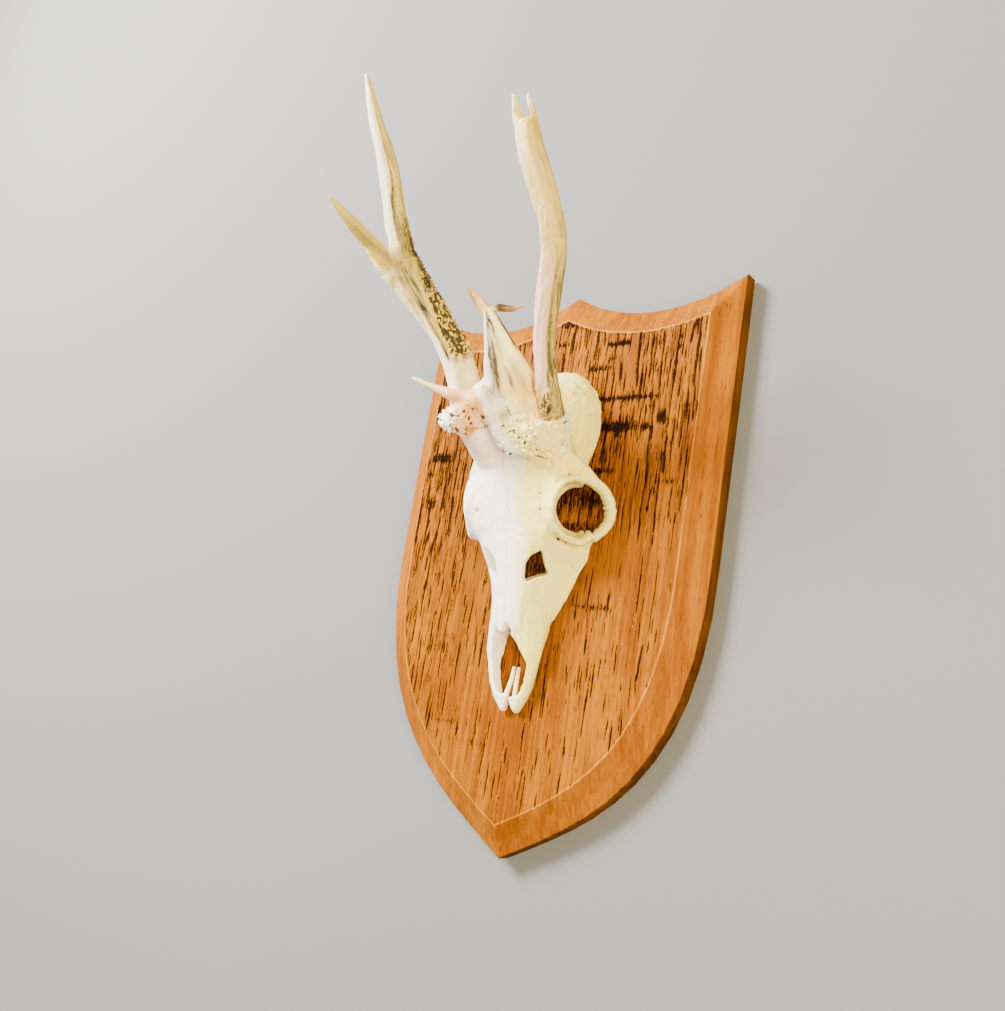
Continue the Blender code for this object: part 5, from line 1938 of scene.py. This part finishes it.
@dataclass
class Shield:
    """The oak board, a copy of its solid with worn arrises and dressed surfaces."""

    arris: float = 0.5  # mm, the width worn off each sharp edge
    cut_across: float = 0.46  # mm between the cuts that carry the surface's unevenness
    cut_up: float = 2.9  # mm
    uneven: float = 0.20  # mm
    crack_depth: float = 0.6  # mm
    crack_count: int = 1900
    seed: int = 7
    # what lies within these bounds of the back's top and middle belongs to the hanger slot, metres
    slot_half: float = 0.014
    slot_reach: tuple[float, float] = (0.02, 0.085)
    slot_depth: float = 0.012
    face: OakFinish = OakFinish(
        "oak_face", (0.295, 0.090, 0.0), (0.14, 0.034, 0.0), (0.007, 0.003, 0.001), 1.0, 0.50, 0.6
    )
    chamfer: OakFinish = OakFinish(
        "oak_chamfer", (0.32, 0.098, 0.0), (0.19, 0.048, 0.0), (0.06, 0.016, 0.001), 0.55, 0.48, 0.3
    )
    # the side walls: dark-stained oak, made darker still as painted shade
    edge: OakFinish = OakFinish(
        "oak_edge", (0.12, 0.040, 0.001), (0.045, 0.013, 0.001), (0.010, 0.004, 0.001), 0.7, 0.6, 0.4
    )
    # the worn arrises: lighter where worn, and lighter still as a painted highlight along the edges
    worn: OakFinish = OakFinish(
        "oak_arris", (0.50, 0.19, 0.008), (0.28, 0.085, 0.001), (0.08, 0.02, 0.001), 0.6, 0.40, 0.3, 0.1
    )
    # the great cracks: shares of the board's width and height, and then as in a Tear
    great: tuple[tuple[float, float, float, float, float], ...] = (
        (0.851, 0.850, 20.0, 0.75, 0.03), (0.887, 0.892, 7.0, 0.65, 0.12), (0.893, 0.772, 9.0, 0.45, -0.02),
        (0.849, 0.336, 13.0, 0.55, 0.05), (0.848, 0.668, 6.0, 0.7, 0.03), (0.822, 0.610, 9.0, 0.65, 0.06),
        (0.780, 0.878, 8.5, 0.5, 0.02), (0.952, 0.352, 9.0, 0.5, 0.08),
    )
    # as in the dark-mark class above; the last five rows, from (0.615, 0.612) on, are painted shade on the
    # board behind the skull's openings, and the rest are saw scorches
    scorches: tuple[tuple[float, ...], ...] = (
        (0.720, 0.788, 19.5, 1.1), (0.700, 0.735, 10.5, 2.5), (0.789, 0.735, 3.4, 1.6, 0.9),
        (0.828, 0.749, 2.8, 2.9), (0.678, 0.887, 7.0, 0.75, 1.2), (0.662, 0.859, 2.9, 0.7),
        (0.626, 0.846, 7.2, 1.6, 0.75), (0.665, 0.659, 10.0, 1.5, 0.8), (0.526, 0.938, 7.5, 1.7, 0.8),
        (0.501, 0.895, 3.8, 1.3, 0.8), (0.689, 0.427, 14.0, 0.9, 0.55), (0.740, 0.421, 5.0, 1.0, 0.6),
        (0.130, 0.690, 8.5, 2.2, 0.9), (0.107, 0.655, 5.0, 1.4, 0.7), (0.115, 0.600, 4.0, 3.5, 0.6),
        (0.287, 0.202, 9.0, 1.2, 0.35), (0.381, 0.176, 14.0, 0.8, 0.3), (0.601, 0.166, 8.5, 0.3, 0.75),
        (0.870, 0.640, 4.0, 1.3, 0.55), (0.150, 0.780, 6.0, 2.0, 0.6), (0.615, 0.612, 16.0, 7.0, 0.62),
        (0.570, 0.628, 9.0, 9.0, 0.55), (0.545, 0.590, 6.0, 16.0, 0.55), (0.630, 0.560, 12.0, 2.0, 0.6),
        (0.520, 0.494, 9.0, 7.0, 0.60),
    )

    def build(self, frame: dict[str, Any]) -> bpy.types.Object:
        """Copies the board, wears its arrises and dresses it.

        Args:
            frame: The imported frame.

        Returns:
            The finished piece.
        """
        low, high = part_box("shield_board")
        shape = bmesh.new()
        shape.from_mesh(frame["nodes"]["shield_board"].data)
        bmesh.ops.remove_doubles(shape, verts=shape.verts, dist=MERGE)
        bmesh.ops.dissolve_limit(
            shape, angle_limit=math.radians(0.6), verts=shape.verts, edges=shape.edges
        )
        sharp = [edge for edge in shape.edges if self._worn(edge, high)]
        bmesh.ops.bevel(
            shape, geom=sharp, offset=self.arris * MM, offset_type="OFFSET", segments=2, profile=0.5,
            affect="EDGES", material=-1, clamp_overlap=True,
        )
        bmesh.ops.triangulate(shape, faces=[face for face in shape.faces if len(face.verts) > 4])
        self._cut(shape, low, high)
        for face in shape.faces:
            face.material_index = self._surface(face).slot
            face.smooth = True
        mesh = bpy.data.meshes.new("oak_shield")
        shape.to_mesh(mesh)
        shape.free()
        self._weather(mesh, low, high)
        mesh.set_sharp_from_angle(angle=math.radians(40))
        grain = oak_group()
        for finish in (self.face, self.chamfer, self.edge, self.worn):
            mesh.materials.append(finish.material(grain))
        piece = new_object("oak_shield", mesh)
        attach(piece, BODY)
        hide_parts("shield_board")
        mesh.calc_loop_triangles()
        log.info("oak_shield: %d triangles", len(mesh.loop_triangles))
        return piece

    def _worn(self, edge: bmesh.types.BMEdge, high: Vector) -> bool:
        """Tells the board's outer arrises from other edges.

        Args:
            edge: The edge.
            high: The board's highest corner.

        Returns:
            Whether the edge is an outer arris, and not one of the hanger slot's.
        """
        if len(edge.link_faces) != 2 or edge.calc_face_angle() < math.radians(20):
            return False
        start, end = (vert.co for vert in edge.verts)
        middle = (start + end) / 2
        near, far = self.slot_reach
        in_slot = abs(middle.x) < self.slot_half and near < high.z - middle.z < far
        along_outline = abs(start.y - end.y) < 0.1 * MM
        return along_outline and not (in_slot and high.y - middle.y < self.slot_depth)

    def _cut(self, shape: bmesh.types.BMesh, low: Vector, high: Vector) -> None:
        """Cuts the board's front into a fine grid, so that it can be torn and uneven.

        Args:
            shape: The board.
            low: Its lowest corner.
            high: Its highest corner.
        """
        front = [face for face in shape.faces if face.normal.y < -0.35]
        edges = list({edge for face in front for edge in face.edges})
        verts = list({vert for face in front for vert in face.verts})
        geom: list[Any] = verts + edges + front
        for axis, step in ((0, self.cut_across), (2, self.cut_up)):
            normal = Vector([float(k == axis) for k in range(3)])
            count = int((high[axis] - low[axis]) / MM / step)
            for index in range(1, count):
                spot = normal * (low[axis] + (high[axis] - low[axis]) * index / count)
                geom = bmesh.ops.bisect_plane(
                    shape, geom=geom, dist=MERGE, plane_co=spot, plane_no=normal
                )["geom"]

    def _surface(self, face: bmesh.types.BMFace) -> Surface:
        """Which surface of the board a face belongs to."""
        outward = face.normal.dot(OUTWARD)
        return next(surface for surface in Surface if outward > surface.least)

    def _tears(self, low: np.ndarray, size: np.ndarray) -> list[Tear]:
        """Scatters the cracks, thickest at the top and on the deer's right.

        Args:
            low: The board's lowest corner, mm.
            size: The board's size, mm.

        Returns:
            The cracks.
        """
        chance = np.random.default_rng(self.seed)
        tears = [
            Tear(low[0] + size[0] * across, low[2] + size[2] * up, *rest)
            for across, up, *rest in self.great
        ]
        while len(tears) < self.crack_count:
            across, up, luck = chance.random(3)
            spread = 0.22 + 0.55 * float(ramp(np.array(up), 0.50, 0.74))
            spread += 0.60 * float(ramp(np.array(across), 0.36, 0.14) * ramp(np.array(up), 0.24, 0.42))
            spread -= 0.10 * float(ramp(np.array(up), 0.22, 0.10))
            if luck > spread:
                continue
            length = float(np.clip(np.exp(chance.normal(1.60, 0.65)), 1.4, 19.0))
            width = float(np.clip(chance.normal(0.015 * length, 0.09), 0.0, 0.34))
            lean = float(chance.normal(0.012, 0.014))
            tears.append(Tear(low[0] + size[0] * across, low[2] + size[2] * up, length, width, lean))
        return tears

    def _weather(self, mesh: bpy.types.Mesh, low: Vector, high: Vector) -> None:
        """Tears and wears the surface, and marks where it is cracked, scorched, painted with shade or open.

        Args:
            mesh: The board's mesh.
            low: Its lowest corner.
            high: Its highest corner.
        """
        points = rows_of(mesh.vertices, "co") / MM
        normals = rows_of(mesh.vertex_normals, "vector")
        floor, size = np.array(low) / MM, np.array(high - low) / MM
        x, z = points[:, 0], points[:, 2]
        share = (points - floor) / size
        across, up = share[:, 0], share[:, 2]
        face = ramp(-points[:, 1], size[1] - 0.25, size[1] - 0.02)

        wander = np.stack([x * 0.12, x * 0.0, z], 1)
        sway = 0.35 * Grit.waves(wander, 14.0, 131) + 0.16 * Grit.waves(wander, 3.6, 137)
        pinch = 0.70 + 0.75 * Grit.waves(np.stack([x, x * 0.0, z], 1), 2.4, 139)
        crack = np.zeros(len(points))
        for tear in self._tears(floor, size):
            near = np.flatnonzero((np.abs(x - tear.x) < 4.0) & (np.abs(z - tear.z) < tear.half + 1.0))
            rise = z[near] - tear.z
            body = np.sqrt(np.clip(1.0 - (rise / tear.half) ** 2, 0.0, 1.0))
            past = np.clip(np.abs(rise) - tear.half, 0.0, 9.0) * 0.5
            gap = np.abs(x[near] - tear.x - tear.lean * rise - sway[near]) - tear.width * body * pinch[near]
            gap += 0.35 * (1.0 - body)
            crack[near] = np.maximum(crack[near], 1.0 - np.hypot(np.maximum(gap, 0.0), past) / 0.62)
        crack = np.clip(crack, 0.0, 1.2) * face

        burn = np.zeros(len(points))
        for mark in (ScorchAndShadeMark(*row) for row in self.scorches):
            aside = (across - mark.across) * size[0] / mark.half_long
            above = (up - mark.up) * size[2] + 0.5 * Grit.waves(points, 6.0, 149)
            reach = np.sqrt(aside**4 + (above / mark.half_tall) ** 2)
            burn = np.maximum(burn, mark.strength * ramp(reach, 1.9, 0.5))
        burn *= face

        front = ramp(-points[:, 1], 0.6, 2.0)
        long = Grit.cloud(points * np.array([1.0, 1.0, 0.12]), 9.0, 101)
        slow = Grit.cloud(points, 30.0, 103)
        sink = self.uneven * np.clip(0.55 + 0.6 * long + 0.5 * slow, 0.0, 2.0)
        sink += self.crack_depth * ramp(crack, 0.25, 0.9) + 0.35 * ramp(burn, 0.3, 0.9)
        points -= normals * (sink * front)[:, None]
        mesh.vertices.foreach_set("co", (points * MM).astype(np.float32).ravel())
        mesh.update()

        rough = 0.20 * Grit.cloud(points, 34.0, 107) + 0.12 * Grit.cloud(points, 11.0, 109)
        pores = 0.50 + 0.26 * ramp(across, 0.42, 0.12) + 0.30 * ramp(up, 0.5, 0.75)
        pores -= 0.15 * ramp(up, 0.35, 0.12)
        for name, values in (("pores", pores + rough), ("crack", crack), ("burn", burn)):
            layer = mesh.attributes.new(name, "FLOAT", "POINT")
            layer.data.foreach_set("value", np.clip(values, 0.0, 1.3).astype(np.float32))


# ---------------- screws


@dataclass
class Screws:
    """The two fixing screws, which keep their solids."""

    names: tuple[str, ...] = ("fixing_screw_upper", "fixing_screw_lower")
    colour: Colour = (0.56, 0.56, 0.54)

    def build(self, frame: dict[str, Any]) -> None:
        """Dresses the screws in turned steel.

        Args:
            frame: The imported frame.
        """
        material, graph, shader = new_material("turned_steel")
        place = graph.node("ShaderNodeTexCoord").outputs["Object"]
        dull = graph.noise(place, 900.0, 3.0)
        tarnish = graph.rise(graph.noise(place, 380.0, 3.0), 0.45, 0.75)
        colour = graph.mix(tarnish, paint(self.colour), paint((0.30, 0.26, 0.21)))
        rough = graph.add(graph.times(dull, 0.3), 0.2)
        bump = graph.node("ShaderNodeBump", {"Strength": 0.4, "Distance": 0.1 * MM, "Height": dull})
        graph.join({"Base Color": colour, "Roughness": rough, "Normal": bump.outputs["Normal"]}, shader)
        shader.inputs["Metallic"].default_value = 1.0
        for name in self.names:
            screw = frame["nodes"][name]
            screw.data.materials.clear()
            screw.data.materials.append(material)
            log.info("%s: dressed", name)


# ---------------- studio


@dataclass(frozen=True)
class Lamp:
    """One soft square light that shines at the mount's middle."""

    name: str
    place: Vector  # from the mount's middle, metres
    size: float  # its side, metres
    power: float  # watts
    colour: Colour

    def hang(self, middle: Vector) -> None:
        """Hangs the light.

        Args:
            middle: The mount's middle.
        """
        lamp = bpy.data.lights.new(self.name, "AREA")
        lamp.size, lamp.energy, lamp.color = self.size, self.power, self.colour
        holder = new_object(self.name, lamp)
        holder.location = middle + self.place
        holder.rotation_euler = (-self.place).to_track_quat("-Z", "Y").to_euler()


@dataclass
class Studio:
    """The pale wall and floor, the soft light and the camera."""

    wall: Colour = (0.165, 0.160, 0.154)
    sheet: float = 2.4  # half the side of the wall and of the floor, metres
    gap: float = 0.0006  # between the board and the wall, metres
    drop: float = 0.45  # the floor's distance below the shield, metres
    air: Colour = (1.0, 0.97, 0.93)
    air_strength: float = 0.55
    lamps: tuple[Lamp, ...] = (
        Lamp("key", Vector((-0.95, -0.98, 0.86)), 0.6, 175.0, (0.97, 0.97, 1.0)),
        Lamp("fill", Vector((1.25, -1.0, -0.25)), 1.2, 92.0, (1.0, 0.87, 0.50)),
    )
    lens: float = 32.01
    eye: tuple[float, float, float] = (0.289328, -0.412664, -0.068183)
    right: tuple[float, float, float] = (0.7904, 0.5938, 0.1504)
    ahead: tuple[float, float, float] = (-0.6126, 0.7680, 0.1867)

    def build(self) -> None:
        """Sets up the wall, the floor, the lights and the camera."""
        low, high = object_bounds()
        middle = (low + high) / 2
        self._wall(middle)
        self._sheet("floor", Vector((0.0, 0.0, low.z - self.drop)), Matrix.Identity(4))
        for lamp in self.lamps:
            lamp.hang(middle)
        world = bpy.data.worlds.new("studio_air")
        world.use_nodes = True
        air = world.node_tree.nodes["Background"].inputs
        air["Color"].default_value = paint(self.air)
        air["Strength"].default_value = self.air_strength
        bpy.context.scene.world = world
        self._camera()

    def _sheet(
        self, name: str, place: Vector, turn: Matrix
    ) -> tuple[bpy.types.Object, Graph, bpy.types.Node]:
        """A square sheet for the stage, with its place in its mesh.

        Args:
            name: Its name.
            place: Its middle.
            turn: How it is turned from lying flat.

        Returns:
            The sheet, its material's graph and its shader.
        """
        shape = bmesh.new()
        bmesh.ops.create_grid(shape, x_segments=1, y_segments=1, size=self.sheet)
        bmesh.ops.transform(shape, matrix=Matrix.Translation(place) @ turn, verts=shape.verts)
        mesh = bpy.data.meshes.new(name)
        shape.to_mesh(mesh)
        shape.free()
        material, graph, shader = new_material("pale_" + name)
        shader.inputs["Base Color"].default_value = paint(self.wall)
        shader.inputs["Roughness"].default_value = 0.9
        mesh.materials.append(material)
        sheet = new_object(name, mesh)
        sheet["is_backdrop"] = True
        return sheet, graph, shader

    def _wall(self, middle: Vector) -> None:
        """The wall, which shows from the front alone and shades nothing.

        Args:
            middle: The mount's middle.
        """
        place = Vector((middle.x, self.gap, middle.z))
        sheet, graph, shader = self._sheet("wall", place, Matrix.Rotation(math.radians(90), 4, "X"))
        clear = graph.node("ShaderNodeBsdfTransparent").outputs["BSDF"]
        behind = graph.node("ShaderNodeNewGeometry").outputs["Backfacing"]
        both = graph.node("ShaderNodeMixShader", {0: behind, 1: shader.outputs["BSDF"], 2: clear})
        graph.join({"Surface": both.outputs["Shader"]}, graph.tree.nodes["Material Output"])
        sheet.visible_diffuse = False  # so the air's light also reaches the back of the board

    def _camera(self) -> None:
        """The camera, low on the deer's left side."""
        camera = bpy.data.cameras.new("camera")
        camera.lens, camera.sensor_width, camera.sensor_fit = self.lens, 36.0, "AUTO"
        camera.clip_start = 0.01
        holder = new_object("camera", camera)
        right, ahead = Vector(self.right).normalized(), Vector(self.ahead).normalized()
        up = right.cross(ahead)
        turn = Matrix((right, up, -ahead)).transposed().to_4x4()
        holder.matrix_world = Matrix.Translation(Vector(self.eye)) @ turn
        bpy.context.scene.camera = holder


# ---------------- the whole mount


# the cream, chalk, lilac and olive paints serve as the bone's and the antler's own tones, and also as
# painted light and shade
BONE = BoneFinish(
    name="bleached_bone",
    base=(0.90, 0.86, 0.78),
    cream=(0.84, 0.71, 0.15),
    olive=(0.10, 0.06, 0.02),
    peach=(0.76, 0.32, 0.05),
    lilac=(0.86, 0.60, 0.46),
    dirt=(0.014, 0.008, 0.004),
    chalk=(0.93, 0.90, 0.86),
    roughness=0.58,
    relief=0.26,
)
ANTLER = BoneFinish(
    name="weathered_antler",
    base=(0.78, 0.58, 0.16),
    cream=(0.66, 0.44, 0.055),
    olive=(0.10, 0.070, 0.018),
    peach=(0.66, 0.29, 0.045),
    lilac=(0.80, 0.50, 0.34),
    dirt=(0.010, 0.007, 0.004),
    chalk=(0.93, 0.83, 0.60),
    roughness=0.55,
    relief=0.34,
)


def main() -> None:
    """Builds the mount piece by piece."""
    logging.basicConfig(level=logging.INFO, format="%(name)s: %(message)s")
    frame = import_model()
    group = weathered_group()
    bone, antler = BONE.material(group), ANTLER.material(group)
    Shield().build(frame)
    Skull().build(frame, bone)
    for side in Side:
        Antler(side).build(frame, antler)
    Screws().build(frame)
    Studio().build()


if __name__ == "__main__":
    main()
